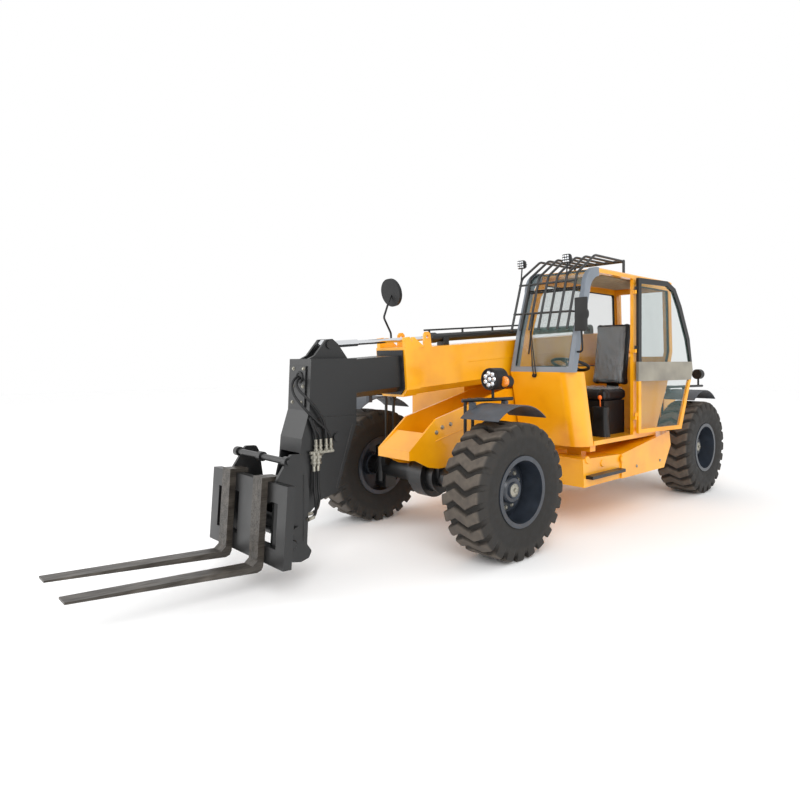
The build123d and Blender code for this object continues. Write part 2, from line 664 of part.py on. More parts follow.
column = rod_between((-1180, seat_y, floor_top), (-1340, seat_y, 1510), 42)
wheel_ring = Rot(0, -18, 0) * (Torus(180, 15) + Cylinder(45, 30) + block((-178, 178), (-14, 14), (-7, 7)))
column += block((-1230, -1130), (seat_y - 60, seat_y + 60), (floor_top, floor_top + 30))
column -= block((-1400, -1000), (seat_y - 100, seat_y + 100), (floor_top - 100, floor_top))
keep("steering_wheel", Pos(-1345, seat_y, 1520) * wheel_ring + column)
dash = slab([(-1060, floor_top), (-970, 1350), (-975, 1380), (-1110, 1380), (-1125, 1300), (-1125, floor_top)],
            (cab_in + cab_wall + seat_gap, cab_out - 150))
keep("dashboard", dash)


# ---------------------------------------------------------------- door
def on_door(solid):
    """Turns a piece drawn on the closed door about the hinges to the parked, open door."""
    hinge = Location((door_hinge[0], door_hinge[1], 0))
    return hinge * Rot(0, 0, door_open) * hinge.inverse() * solid


door_y = (cab_out + 6, cab_out + 6 + door_thickness)
door_low = (door_front_low_x + 16, 822)
door_belt = (cab_front_belt_x - 125, belt_z)
door_outline = [(door_hinge[0] + 14, 822), (door_hinge[0] + 14, roof_under + 6), (-1430, roof_under + 6), (-1290, 2330),
                (-1180, 2150), (-1030, 1800), door_belt, door_low]
door_panel = (1350, 1548)
border = 42


def door_piece(low, high, window):
    strip = block((-3000, 0), (0, 2000), (low, high))
    frame = slab(door_outline, door_y) & strip
    return frame - window if window else frame


hinge_x = door_hinge[0]
lower_window = [(hinge_x + 56, 864), (hinge_x + 56, door_panel[0]), (-1040, door_panel[0]), (-1225, 864)]
upper_window = [(hinge_x + 62, door_panel[1]), (hinge_x + 62, roof_under - 46), (-1440, roof_under - 46),
                (-1330, 2290), (-1232, 2120), (-1085, 1790), (-1022, door_panel[1])]
low_frame = door_piece(822, door_panel[0], slab(lower_window, (900, 1100)))
high_frame = door_piece(door_panel[1], roof_under + 6, slab(upper_window, (900, 1100)))
keep("door_frame_lower", on_door(low_frame))
keep("door_panel", on_door(door_piece(door_panel[0], door_panel[1], None)))
keep("door_frame_upper", on_door(high_frame))
pane_y = (door_y[0] + 10, door_y[0] + 10 + glass_thickness)
panes = [slab(window, pane_y, 0, seat_gap) for window in (lower_window, upper_window)]
keep("door_glass", *[on_door(pane) for pane in panes])
cab_knuckles, door_knuckles = [], []
for low in hinge_heights:
    x, y = door_hinge
    middle = low + hinge_knuckle
    cab_knuckles.append(rod_between((x, y, low), (x, y, middle - seat_gap), hinge_radius)
                        + block((x - 40, x + 8), (cab_out, y - 8), (low, middle - seat_gap)))
    door_knuckles.append(rod_between((x, y, middle), (x, y, middle + hinge_knuckle), hinge_radius)
                         + block((x, x + 20), (door_y[0] + 6, y + 4), (middle, middle + hinge_knuckle)))
for knuckle_piece in cab_knuckles:
    nodes["cab_side_left"] += knuckle_piece
low_zone, high_zone = door_knuckles[0], door_knuckles[1:]
nodes["door_frame_lower"] += on_door(low_zone)
for knuckle_piece in high_zone:
    nodes["door_frame_upper"] += on_door(knuckle_piece)

# ---------------------------------------------------------------- engine pod
pod = block((pod_rear, pod_front), (pod_out, pod_in), (pod_floor_z, pod_split_z))
pod -= block((pod_rear + hood_wall, pod_front - hood_wall), (pod_out + hood_wall, pod_in - hood_wall),
             (pod_floor_z + hood_wall, pod_split_z + 1))
pod += block((pod_rear, pod_front), (pod_in - hood_wall, pod_in), (pod_split_z - 2, pod_top_z))
hood_hinge = (pod_in - hood_wall / 2, pod_top_z + hinge_radius + 1)


def hood_knuckle(x, leaf):
    """Hinge knuckle along the top edge, with its leaf."""
    y, z = hood_hinge
    return rod_between((x[0], y, z), (x[1], y, z), hinge_radius) + block(x, leaf, (pod_top_z - 3, z))


for x in hood_hinge_x:
    pod += hood_knuckle((x - hood_knuckle_length, x - seat_gap), (pod_in - hood_wall, pod_in))
keep("engine_pod", pod)


def hood_shell(shrink, low):
    x0, x1 = pod_rear + shrink, pod_front - shrink
    y0, y1 = pod_out + shrink, pod_in - hood_wall - seat_gap
    top = pod_top_z - shrink
    body = slab([(x0, low), (x0, top - 120), (x0 + 160, top), (x1 - 60, top), (x1, top - 60), (x1, low)], (y0, y1))
    return chamfer(body.faces().sort_by(Axis.Y)[0].edges().group_by(Axis.Z)[-1], 60)


hood = hood_shell(0, pod_split_z + seat_gap) - hood_shell(hood_wall, pod_split_z - 10)
for x in hood_hinge_x:
    hood += hood_knuckle((x, x + hood_knuckle_length), (pod_in - hood_wall - 30, pod_in - hood_wall - seat_gap))
keep("engine_hood", hood)
keep("engine_block", block((pod_rear + 390, pod_front - 540), (pod_out + 155, pod_in - 158),
                           (pod_floor_z + hood_wall, pod_floor_z + 760)))

# ---------------------------------------------------------------- side boxes and step
tank = slab([(-950, 672), (-970, 414), (-1610, 414), (-1610, 648)], (600, 985)) + slab(
    [(-1610, 650), (-1610, 412), (tank_rear + 160, 412), (tank_rear, 640), (tank_rear + 35, 792)], (560, box_out))
hanger_x = cab_mounts[0][0]
tank += block((hanger_x - 40, hanger_x + 40), (640, 800), (600, cab_floor_z - 62 - seat_gap))
keep("side_tank", tank)
keep("step", block((-1580, -1000), (985, 1060), (490, 520)))

# ---------------------------------------------------------------- fenders and lamps
def fender(centre_x):
    def arc(drop):
        return (centre_x - 310, 0, 1100 - drop), (centre_x - 10, 0, 1212 - drop), (centre_x + 285, 0, 1108 - drop)
    top, low = arc(0), arc(fender_thickness)
    face = make_face(Wire([ThreePointArc(*top), Line(top[2], low[2]), ThreePointArc(*low[::-1]), Line(low[0], top[0])]))
    return extrude(Pos(0, fender_y[0], 0) * face, amount=fender_y[1] - fender_y[0], dir=(0, 1, 0))


def bar_y(x):
    """Sideways place of the lamp bar, x ahead of the axle."""
    return 640 + (250 - x) * 0.21


def fender_bracket(centre_x, tail):
    """Two bent posts on the axle and the bar over the fender, which also carries the lamp."""
    body = rod_between((centre_x + 250, bar_y(250), bar_z), (centre_x - tail, bar_y(-tail), bar_z), bar_radius)
    foot = axle_z + post_pad_z + seat_gap
    for x in post_gauge:
        body += bent_tube([(centre_x + x, post_y, foot), (centre_x + x, post_y, bar_z),
                           (centre_x + x, bar_y(x), bar_z)], post_radius, 50)
    return body


def fender_on(centre_x):
    """Fender with two bosses up to the bar's underside."""
    body = fender(centre_x)
    for x in (-170, 170):
        y = max(bar_y(x), fender_y[0] + 22)
        body += block((centre_x + x - 20, centre_x + x + 20), (y - 22, y + 22), (1160, bar_z - bar_radius - seat_gap))
    return body


fenders = [fender_on(x) for x in (0, -wheelbase)]
keep("fenders", *fenders, *[mirrored(one) for one in fenders])
brackets = [fender_bracket(0, 250), fender_bracket(-wheelbase, 520)]
keep("fender_brackets", *brackets, *[mirrored(one) for one in brackets])


def lamp(x, y, z, radius, depth, stem_x, stem_y):
    """Round lamp facing along the machine on a stem that stands on the bar."""
    body = rod_between((x - depth, y, z), (x, y, z), radius)
    body += rod_between((stem_x, stem_y, bar_z + bar_radius + seat_gap), (stem_x, stem_y, z), 12)
    return body


lamp_x, lamp_y, lamp_z = headlamp
front_lamp = lamp(lamp_x + 35, lamp_y, lamp_z, headlamp_radius, 130, lamp_x, bar_y(lamp_x))
front_lamp += rod_between((-150, 800, 1388), (-90, 800, 1388), 46)
keep("headlamps", front_lamp, mirrored(front_lamp))
tail_x = -wheelbase - 440
tail_lamp = lamp(tail_x + 45, bar_y(-440), 1388, 62, 90, tail_x, bar_y(-440))
keep("tail_lamps", tail_lamp, mirrored(tail_lamp))

guard_bars = None
for number in range(7):
    y = guard_y[0] + number * (guard_y[1] - guard_y[0]) / 6
    bar = bent_tube([(-868, y, 1850), (-1030, y, 2370), (-1330, y, 2570), (-1880, y, 2570)], 12, 100)
    guard_bars = bar if guard_bars is None else guard_bars + bar
span = (guard_y[0] - 12, guard_y[1] + 12)
guard_bars += cross_pin(-1865, 2570, 16, span)
guard_bars += cross_pin(-918, 2010, 10, span) + cross_pin(-1008, 2300, 10, span)
for y in (cab_in + 60, cab_out - 60):
    guard_bars += rod_between((-1860, y, roof_z), (-1860, y, 2570), 14)
    guard_bars += rod_between((-918, y, 2010), (-975, y, 2010), 9)
guard_bars -= screen_piece(0, 400, (cab_in - 10, cab_out + 10))
keep("screen_guard", guard_bars)

mirror_left = Pos(-900, 1000, 1975) * (Rot(0, 90, 20) * Cylinder(75, 26) + block((-13, 13), (-60, 60), (-150, 150)))
mirror_left += bent_tube([(-905, 1000, 1850), (-925, 1000, 1640), (-935, cab_out - 20, 1640)], 9, 30)
mirror_left -= block((-1100, -800), (cab_out - 60, cab_out + seat_gap), (1500, 2300))
keep("cab_mirror", mirror_left)

os.makedirs("parts", exist_ok=True)
for name, solid in nodes.items():
    export_step(Pos(front_axle_x, 0, 0) * solid, f"parts/{name}.step")
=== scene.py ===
import math

import bmesh
import bpy
import numpy as np
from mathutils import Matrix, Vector


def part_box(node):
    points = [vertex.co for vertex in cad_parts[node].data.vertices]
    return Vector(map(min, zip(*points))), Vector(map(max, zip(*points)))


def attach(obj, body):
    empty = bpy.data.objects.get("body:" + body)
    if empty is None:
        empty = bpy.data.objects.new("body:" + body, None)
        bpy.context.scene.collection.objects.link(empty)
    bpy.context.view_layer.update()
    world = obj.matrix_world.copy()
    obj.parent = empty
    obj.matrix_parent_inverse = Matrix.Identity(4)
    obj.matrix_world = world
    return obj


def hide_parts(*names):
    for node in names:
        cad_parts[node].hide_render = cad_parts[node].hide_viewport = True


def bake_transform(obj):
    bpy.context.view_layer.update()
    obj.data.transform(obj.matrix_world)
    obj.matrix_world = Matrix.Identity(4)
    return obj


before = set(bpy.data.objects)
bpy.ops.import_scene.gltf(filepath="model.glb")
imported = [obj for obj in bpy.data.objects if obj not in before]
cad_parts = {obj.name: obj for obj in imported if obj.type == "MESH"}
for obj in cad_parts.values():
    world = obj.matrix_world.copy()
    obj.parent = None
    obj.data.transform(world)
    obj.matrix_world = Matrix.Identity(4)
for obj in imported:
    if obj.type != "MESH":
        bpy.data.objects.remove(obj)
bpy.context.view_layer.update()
print("stage: frame loaded,", len(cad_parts), "nodes")

paintIor = 1.5
pi = math.pi


# sRGB hex to the linear colour the shaders want
def hexColor(code, alpha=1.0):
    part = [int(code[i:i + 2], 16) / 255 for i in (0, 2, 4)]
    return [c / 12.92 if c <= 0.04045 else ((c + 0.055) / 1.055) ** 2.4 for c in part] + [alpha]


# adds a node with its settings and links: keys with a value set an input, a socket links it
def addNode(tree, kind, inputs=None, **settings):
    node = tree.nodes.new(kind)
    for key, value in settings.items():
        setattr(node, key, value)
    for key, value in (inputs or {}).items():
        if isinstance(value, bpy.types.NodeSocket):
            tree.links.new(value, node.inputs[key])
        else:
            node.inputs[key].default_value = value
    return node


# a new material with its Principled shader; values are shader sockets by name
def newMaterial(name, values):
    material = bpy.data.materials.new(name)
    material.use_nodes = True
    tree = material.node_tree
    shader = tree.nodes["Principled BSDF"]
    for key, value in values.items():
        shader.inputs[key].default_value = value
    return material, tree, shader


# colour ramp from (place, hex) pairs
def addRamp(tree, source, stops):
    ramp = addNode(tree, "ShaderNodeValToRGB", {"Fac": source})
    element = ramp.color_ramp.elements
    element[0].position, element[0].color = stops[0][0], hexColor(stops[0][1])
    element[1].position, element[1].color = stops[-1][0], hexColor(stops[-1][1])
    for place, code in stops[1:-1]:
        middle = element.new(place)
        middle.color = hexColor(code)
    return ramp.outputs["Color"]


# noise whose cells are about size metres across, on object coordinates
def addNoise(tree, size, detail=2.0, stretch=(1, 1, 1)):
    place = addNode(tree, "ShaderNodeTexCoord").outputs["Object"]
    mapped = addNode(tree, "ShaderNodeMapping", {"Vector": place, "Scale": stretch}).outputs["Vector"]
    return addNode(tree, "ShaderNodeTexNoise",
                   {"Vector": mapped, "Scale": 1 / size, "Detail": detail}).outputs["Fac"]


# bump from a height, depth in metres
def addBump(tree, shader, height, depth):
    bump = addNode(tree, "ShaderNodeBump", {"Height": height, "Distance": depth})
    tree.links.new(bump.outputs["Normal"], shader.inputs["Normal"])


# maps a source from start and end onto low and high
def addRange(tree, source, low, high, start=0.3, end=0.7):
    node = addNode(tree, "ShaderNodeMapRange",
                   {"Value": source, "From Min": start, "From Max": end, "To Min": low, "To Max": high})
    return node.outputs["Result"]


# painted steel: clean and dusty tones, dust settles in soft clouds and the gloss follows it
def paintedSteel(name, look):
    material, tree, shader = newMaterial(name, {
        "Metallic": 0.0, "Coat Weight": look["coat"], "Coat Roughness": look["coatRough"], "IOR": paintIor})
    cloud = addNoise(tree, look["cloudSize"], 5.0)
    fine = addNoise(tree, look["peelSize"], 1.0)
    color = addRamp(tree, cloud, [(0.30, look["dark"]), (0.52, look["base"]), (0.74, look["light"])])
    tree.links.new(color, shader.inputs["Base Color"])
    tree.links.new(addRange(tree, cloud, look["rough"][0], look["rough"][1]), shader.inputs["Roughness"])
    addBump(tree, shader, fine, look["peelDepth"])
    return material


paints = {
    # two-pack polyurethane enamel, sprayed: deep gloss with an orange peel drawn at 6 mm so that it shows
    "yellowEnamel": {"base": "F5A800", "light": "FAB31A", "dark": "E39300", "coat": 0.6, "coatRough": 0.12,
                     "cloudSize": 0.45, "peelSize": 0.006, "peelDepth": 0.00012, "rough": (0.30, 0.42)},
    # chassis black, alkyd paint rolled on thick: satin with dusty patches
    "satinBlackPaint": {"base": "0E0F10", "light": "171719", "dark": "090A0B", "coat": 0.25, "coatRough": 0.3,
                        "cloudSize": 0.25, "peelSize": 0.005, "peelDepth": 0.00015, "rough": (0.34, 0.5)},
    # powder-coated pillars, baked: even satin blue-grey
    "greyPowderCoat": {"base": "737B85", "light": "7F8790", "dark": "69717A", "coat": 0.3, "coatRough": 0.3,
                       "cloudSize": 0.35, "peelSize": 0.004, "peelDepth": 0.0001, "rough": (0.36, 0.48)},
    # dusty warm-grey enamel of the door's middle panel
    "warmGreyEnamel": {"base": "8A8578", "light": "979284", "dark": "79746A", "coat": 0.3, "coatRough": 0.3,
                       "cloudSize": 0.2, "peelSize": 0.004, "peelDepth": 0.0001, "rough": (0.4, 0.5)},
    # wheel enamel, dipped: blue-black with a soft shine
    "blueBlackEnamel": {"base": "2A3039", "light": "343B46", "dark": "20252C", "coat": 0.35,
                        "coatRough": 0.22,
                        "cloudSize": 0.15, "peelSize": 0.004, "peelDepth": 0.0001, "rough": (0.32, 0.46)},
}
made = {name: paintedSteel(name, look) for name, look in paints.items()}
print("stage: paints")


# injection-moulded plastic, spark-eroded grain drawn at 2 mm, slightly worn to grey
def mouldedPlastic(name, look):
    material, tree, shader = newMaterial(name, {"IOR": 1.46})
    cloud = addNoise(tree, look["cloudSize"], 4.0)
    color = addRamp(tree, cloud, [(0.3, look["dark"]), (0.7, look["light"])])
    tree.links.new(color, shader.inputs["Base Color"])
    tree.links.new(addRange(tree, cloud, *look["rough"]), shader.inputs["Roughness"])
    addBump(tree, shader, addNoise(tree, look["grain"], 1.0), look["grainDepth"])
    return material


plastics = {
    # ABS and PP housings, moulded
    "grainedBlackPlastic": {"dark": "0A0B0C", "light": "131416", "cloudSize": 0.08, "rough": (0.42, 0.6),
                            "grain": 0.002, "grainDepth": 0.0001},
    # rotomoulded polyethylene mudguard: dull blue-grey skin with a faint mottle
    "rotomouldedFender": {"dark": "3C4046", "light": "4C5158", "cloudSize": 0.07, "rough": (0.46, 0.62),
                          "grain": 0.003, "grainDepth": 0.00015},
    # hydraulic hose: synthetic rubber with a cloth-wrapped skin
    "hoseRubber": {"dark": "0C0C0D", "light": "191A1B", "cloudSize": 0.02, "rough": (0.45, 0.6),
                   "grain": 0.0015, "grainDepth": 0.0001},
    # seat cover: black leathercloth, pressed grain drawn at 2 mm
    "seatVinyl": {"dark": "0E0F11", "light": "1B1C1F", "cloudSize": 0.06, "rough": (0.36, 0.52),
                  "grain": 0.002, "grainDepth": 0.0002},
    # control knob, moulded orange ABS
    "orangePlastic": {"dark": "D9560A", "light": "F07018", "cloudSize": 0.02, "rough": (0.3, 0.4),
                      "grain": 0.001, "grainDepth": 0.00003},
    # roof liner: tan foam-backed needle felt, pressed
    "tanLiner": {"dark": "8C7C63", "light": "A39377", "cloudSize": 0.05, "rough": (0.8, 0.95),
                 "grain": 0.003, "grainDepth": 0.0004},
    # nylon wear pads, cast
    "castNylon": {"dark": "17181A", "light": "26282B", "cloudSize": 0.05, "rough": (0.4, 0.55),
                  "grain": 0.002, "grainDepth": 0.0001},
}
made.update({name: mouldedPlastic(name, look) for name, look in plastics.items()})


# hard chrome on ground steel: mirror gloss with fine grinding rings about 1 mm apart
def hardChrome():
    material, tree, shader = newMaterial("hardChrome", {"Base Color": hexColor("D9DBDE"), "Metallic": 1.0})
    fine = addNoise(tree, 0.02, 3.0)
    tree.links.new(addRange(tree, fine, 0.08, 0.2), shader.inputs["Roughness"])
    addBump(tree, shader, addNoise(tree, 0.001, 1.0), 0.00001)
    return material


# forged fork steel: scale and worn paint, brown-grey with bright scuffs along the length
def forgedSteel():
    material, tree, shader = newMaterial("forgedSteel", {"IOR": paintIor})
    scale = addNoise(tree, 0.06, 6.0, (0.35, 1, 1))
    scuff = addNoise(tree, 0.012, 4.0, (0.08, 1, 1))
    color = addRamp(tree, scale, [(0.25, "28241F"), (0.5, "3B3630"), (0.75, "565049")])
    tree.links.new(color, shader.inputs["Base Color"])
    tree.links.new(addRange(tree, scuff, 0.1, 0.75, 0.45, 0.75), shader.inputs["Metallic"])
    tree.links.new(addRange(tree, scuff, 0.3, 0.52), shader.inputs["Roughness"])
    addBump(tree, shader, scuff, 0.0003)
    return material


# tempered glass, tinted sea green, with a light film of dust
def temperedGlass():
    material, tree, shader = newMaterial("temperedGlass", {
        "Base Color": hexColor("5E7C78"), "IOR": 1.52, "Alpha": 0.16, "Specular IOR Level": 0.75})
    dust = addNoise(tree, 0.12, 4.0)
    tree.links.new(addRange(tree, dust, 0.02, 0.09), shader.inputs["Roughness"])
    material.surface_render_method = "BLENDED"
    return material


made.update({"hardChrome": hardChrome(), "forgedSteel": forgedSteel(), "temperedGlass": temperedGlass()})
print("stage: plastics, metals and glass")

# which finish each CAD node takes; the first rule that fits its name counts
finishRules = [
    ("tyre", "grainedBlackPlastic"), ("rim", "blueBlackEnamel"), ("glass", "temperedGlass"),
    ("_rod", "hardChrome"), ("_barrel", "satinBlackPaint"), ("axle", "satinBlackPaint"),
    ("knuckle", "satinBlackPaint"), ("boom_outer", "yellowEnamel"), ("boom_wear", "castNylon"),
    ("boom_mirror", "grainedBlackPlastic"), ("boom_", "satinBlackPaint"), ("carriage", "satinBlackPaint"),
    ("forks", "forgedSteel"), ("cab_front_frame", "greyPowderCoat"), ("cab_mirror", "grainedBlackPlastic"),
    ("cab_", "yellowEnamel"), ("door_frame_lower", "yellowEnamel"), ("door_panel", "warmGreyEnamel"),
    ("door_", "satinBlackPaint"), ("fenders", "rotomouldedFender"), ("fender_", "satinBlackPaint"),
    ("screen_guard", "satinBlackPaint"), ("seat", "grainedBlackPlastic"), ("steering", "grainedBlackPlastic"),
    ("dash", "grainedBlackPlastic"), ("headlamps", "grainedBlackPlastic"),
    ("tail_lamps", "grainedBlackPlastic"),
    ("step", "satinBlackPaint"), ("engine_block", "satinBlackPaint"), ("", "yellowEnamel")]


# gives a node the finish of the first rule whose word is in its name
def dress(node):
    finish = next(finish for word, finish in finishRules if word in node)
    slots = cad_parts[node].data.materials
    slots.clear()
    slots.append(made[finish])


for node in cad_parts:
    dress(node)
print("stage: CAD nodes dressed")


# moulded tyre rubber: dark walls and grooves, and brown-grey tread tops where the tread-top attribute is 1
def tyreRubber():
    material, tree, shader = newMaterial("tyreRubber", {"IOR": 1.5})
    treadTopShare = addNode(tree, "ShaderNodeAttribute", attribute_name="treadTopShare").outputs["Fac"]
    cloud = addNoise(tree, 0.05, 5.0)
    dark = addRamp(tree, cloud, [(0.3, "161514"), (0.7, "24221F")])
    # the lighter brown-grey tone for the lug tops
    treadTopTone = addRamp(tree, cloud, [(0.3, "47403A"), (0.7, "5F574E")])
    mixed = addNode(tree, "ShaderNodeMix", {"Factor": treadTopShare, "A": dark, "B": treadTopTone}, data_type="RGBA")
    tree.links.new(mixed.outputs["Result"], shader.inputs["Base Color"])
    tree.links.new(addRange(tree, cloud, 0.62, 0.86), shader.inputs["Roughness"])
    addBump(tree, shader, addNoise(tree, 0.006, 2.0), 0.0006)
    return material


# small plated parts: zinc with a faint yellow passivation, bead-blasted grain at 1 mm
def zincPlate():
    material, tree, shader = newMaterial("zincPlate", {"Metallic": 0.85})
    tone = addNoise(tree, 0.015, 3.0)
    color = addRamp(tree, tone, [(0.3, "8F8C82"), (0.7, "B5B2A6")])
    tree.links.new(color, shader.inputs["Base Color"])
    tree.links.new(addRange(tree, tone, 0.28, 0.46), shader.inputs["Roughness"])
    addBump(tree, shader, addNoise(tree, 0.001, 1.0), 0.00004)
    return material


# wound polythene film left on the new seat: clear, its gloss broken by crinkles 12 mm apart
def clearFilm():
    material, tree, shader = newMaterial("clearFilm",
                                         {"Base Color": hexColor("DDE3E6"), "Alpha": 0.2,
                                          "Specular IOR Level": 1.0})
    crinkle = addNoise(tree, 0.012, 3.0)
    tree.links.new(addRange(tree, crinkle, 0.05, 0.22), shader.inputs["Roughness"])
    addBump(tree, shader, crinkle, 0.004)
    material.surface_render_method = "BLENDED"
    return material


# moulded lamp optics: polycarbonate over vacuum-metallised cups, as bright pearly metal with 3 mm flutes
def lampOptic(name, low, high, metal):
    material, tree, shader = newMaterial(name,
                                         {"Metallic": metal, "Coat Weight": 1.0, "Coat Roughness": 0.04,
                                          "IOR": 1.58})
    flute = addNoise(tree, 0.003, 1.0)
    tree.links.new(addRamp(tree, flute, [(0.3, low), (0.7, high)]), shader.inputs["Base Color"])
    tree.links.new(addRange(tree, flute, 0.08, 0.25), shader.inputs["Roughness"])
    addBump(tree, shader, flute, 0.0003)
    return material


made.update({"tyreRubber": tyreRubber(), "zincPlate": zincPlate(), "clearFilm": clearFilm(),
             "ledOptic": lampOptic("ledOptic", "C9CDD2", "F4F6F8", 0.7),
             "amberLens": lampOptic("amberLens", "D96A08", "FF9A1C", 0.0)})

# the front axle's x: the middle of the front left tyre's box
axleX = sum(corner[0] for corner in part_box("tyre_front_left")) / 2


# a place measured from the front axle, in the frame
def at(x, y, z):
    return np.array([x + axleX, y, z], float)


# quads of a grid of points, row by row; wrapCols joins the last column to the first
def gridFaces(rows, cols, wrapRows=False, wrapCols=True):
    row, col = np.meshgrid(np.arange(rows if wrapRows else rows - 1),
                           np.arange(cols if wrapCols else cols - 1), indexing="ij")
    below, beside = (row + 1) % rows, (col + 1) % cols
    return np.stack([row * cols + col, row * cols + beside, below * cols + beside, below * cols + col],
                    -1).reshape(-1, 4)


# several (points, faces) forms as one
def joined(forms):
    starts = np.cumsum([0] + [len(points) for points, faces in forms])
    return np.concatenate([points for points, faces in forms]), np.concatenate(
        [faces + start for (points, faces), start in zip(forms, starts)])


# a piece from points and faces: doubled points merged, faces turned outwards, edges over the angle kept crisp
def addPiece(name, form, finish, body, crisp=38, values=None):
    points, faces = form
    mesh = bpy.data.meshes.new(name)
    mesh.from_pydata(points.tolist(), [], faces.tolist())
    if values is not None:
        mesh.attributes.new("treadTopShare", "FLOAT", "POINT").data.foreach_set("value", values.astype(np.float32))
    cleaner = bmesh.new()
    cleaner.from_mesh(mesh)
    bmesh.ops.remove_doubles(cleaner, verts=cleaner.verts, dist=0.00002)
    bmesh.ops.dissolve_degenerate(cleaner, edges=cleaner.edges, dist=0.00001)
    bmesh.ops.recalc_face_normals(cleaner, faces=cleaner.faces)
    cleaner.to_mesh(mesh)
    cleaner.free()
    mesh.polygons.foreach_set("use_smooth", np.ones(len(mesh.polygons), bool))
    mesh.set_sharp_from_angle(angle=math.radians(crisp))
    mesh.materials.append(made[finish])
    piece = bpy.data.objects.new(name, mesh)
    bpy.context.collection.objects.link(piece)
    if body:
        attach(piece, body)
    return piece


# the vector divided by its length
def unit(vector):
    return np.asarray(vector, float) / np.linalg.norm(vector)


# turned form from (along, radius, hex) rows: place + along times the axis + radius times (cos a side + sin a
# over); hex 1 divides the radius by the cosine of the angle from the nearest flat's middle
def turnedForm(profile, place, axis, sides=24, size=1.0):
    axis = unit(axis)
    side = unit(np.cross(axis, (0, 0, 1) if abs(axis[2]) < 0.9 else (1, 0, 0)))
    over = np.cross(axis, side)
    along, radius, flat = np.array([(*row, 0)[:3] for row in profile], float).T * [[size], [size], [1]]
    angle = np.arange(sides) * 2 * pi / sides
    offFlat = np.mod(angle + pi / 6, pi / 3) - pi / 6
    reach = radius[:, None] * (1 + flat[:, None] * (1 / np.cos(offFlat) - 1))
    spokes = np.cos(angle)[:, None] * side + np.sin(angle)[:, None] * over
    points = np.asarray(place) + along[:, None, None] * axis + reach[..., None] * spokes
    return points.reshape(-1, 3), gridFaces(len(profile), sides)


# section carried along a path without twist; open paths end in a closed tip
def sweptForm(path, section, closed=False):
    path = np.asarray(path, float)
    step = np.roll(path, -1, 0) - np.roll(path, 1, 0) if closed else np.gradient(path, axis=0)
    step /= np.linalg.norm(step, axis=1)[:, None]
    last = np.cross(step[0], (0, 0, 1) if abs(step[0][2]) < 0.9 else (0, 1, 0))
    side = np.empty_like(path)
    for number, along in enumerate(step):
        last = unit(last - along * (last @ along))
        side[number] = last
    over = np.cross(side, step)
    section = np.asarray(section, float)
    ring = path[:, None] + section[..., 0, None] * side[:, None] + section[..., 1, None] * over[:, None]
    if not closed:
        count = ring.shape[1]
        ring = np.concatenate([path[:1, None].repeat(count, 1), ring, path[-1:, None].repeat(count, 1)])
    return ring.reshape(-1, 3), gridFaces(len(ring), ring.shape[1], closed)


# a circle's points: the radius times the cosine and sine of even angles
def roundSection(radius, sides=12):
    angle = np.arange(sides) * 2 * pi / sides
    return radius * np.stack([np.cos(angle), np.sin(angle)], -1)


# points every so often along straight runs
def alongRuns(points, spacing):
    points = np.asarray(points, float)
    reach = np.concatenate([[0], np.cumsum(np.linalg.norm(np.diff(points, axis=0), axis=1))])
    stops = np.linspace(0, reach[-1], max(2, int(reach[-1] / spacing) + 1))
    return np.stack([np.interp(stops, reach, points[:, k]) for k in range(3)], -1)


# runs with rounded corners: each pass cuts every run a quarter of the way in from both its ends
def softened(points, passes):
    points = np.asarray(points, float)
    for _ in range(passes):
        here, following = points[:-1], points[1:]
        cut = np.stack([here * 0.75 + following * 0.25, here * 0.25 + following * 0.75], 1).reshape(-1, 3)
        points = np.concatenate([points[:1], cut, points[-1:]])
    return points


# where a ray from start along a direction first meets a node, and the surface's normal there
def seated(node, start, direction):
    found, place, normal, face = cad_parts[node].ray_cast(Vector(start), Vector(unit(direction)))
    if not found:
        raise ValueError("nothing met on %s from %s" % (node, [round(float(v), 3) for v in start]))
    normal = np.array(normal)
    return np.array(place), normal if normal @ unit(direction) < 0 else -normal


# hexagon bolt on its washer, lengths in head radii
boltProfile = [(-0.3, 0), (-0.3, 1.45), (0.12, 1.45), (0.2, 1.36), (0.2, 1.0, 1), (0.84, 1.0, 1),
               (1.0, 0.84, 0.4), (1.0, 0)]


# a bolt on the surface normal at each place where a start's ray meets the node
def boltRow(name, node, starts, direction, size, finish, body):
    forms = []
    for start in starts:
        place, normal = seated(node, start, direction)
        forms.append(turnedForm(boltProfile, place, normal, size=size))
    addPiece(name, joined(forms), finish, body)


# seam of weld or sealant that follows a node's surface below the given runs
def beadOn(name, node, runs, direction, width, finish, body):
    forms = []
    for run in runs:
        places = alongRuns(run, 0.02)
        met = [seated(node, place, direction) for place in places]
        path = np.array([place - normal * width * 0.25 for place, normal in met])
        forms.append(sweptForm(path, roundSection(width, 8)))
    addPiece(name, joined(forms), finish, body, 80)


bpy.context.view_layer.update()

# tyres: rows across from (y, radius) of the carcass to that of the lug, columns along one pitch
tyreLook = {"lugs": 24, "topHalf": 0.039, "footHalf": 0.053,
            "carcass": [(0.158, 0.2565), (0.180, 0.285), (0.1915, 0.325), (0.1925, 0.331),
                        (0.1975, 0.370), (0.1995, 0.415),
                        (0.1985, 0.440), (0.193, 0.460), (0.186, 0.476), (0.176, 0.488), (0.162, 0.496),
                        (0.150, 0.4985),
                        (0.130, 0.4995), (0.100, 0.5005), (0.075, 0.501), (0.058, 0.501), (0.040, 0.5015),
                        (0.020, 0.502)],
            "lugTop": {6: (0.1995, 0.444), 7: (0.1995, 0.474), 8: (0.198, 0.499), 9: (0.190, 0.521),
                       10: (0.174, 0.5345)},
            "zigzag": ((-0.2, -0.058, 0.058, 0.2), (-0.05, 0.028, -0.028, 0.05))}


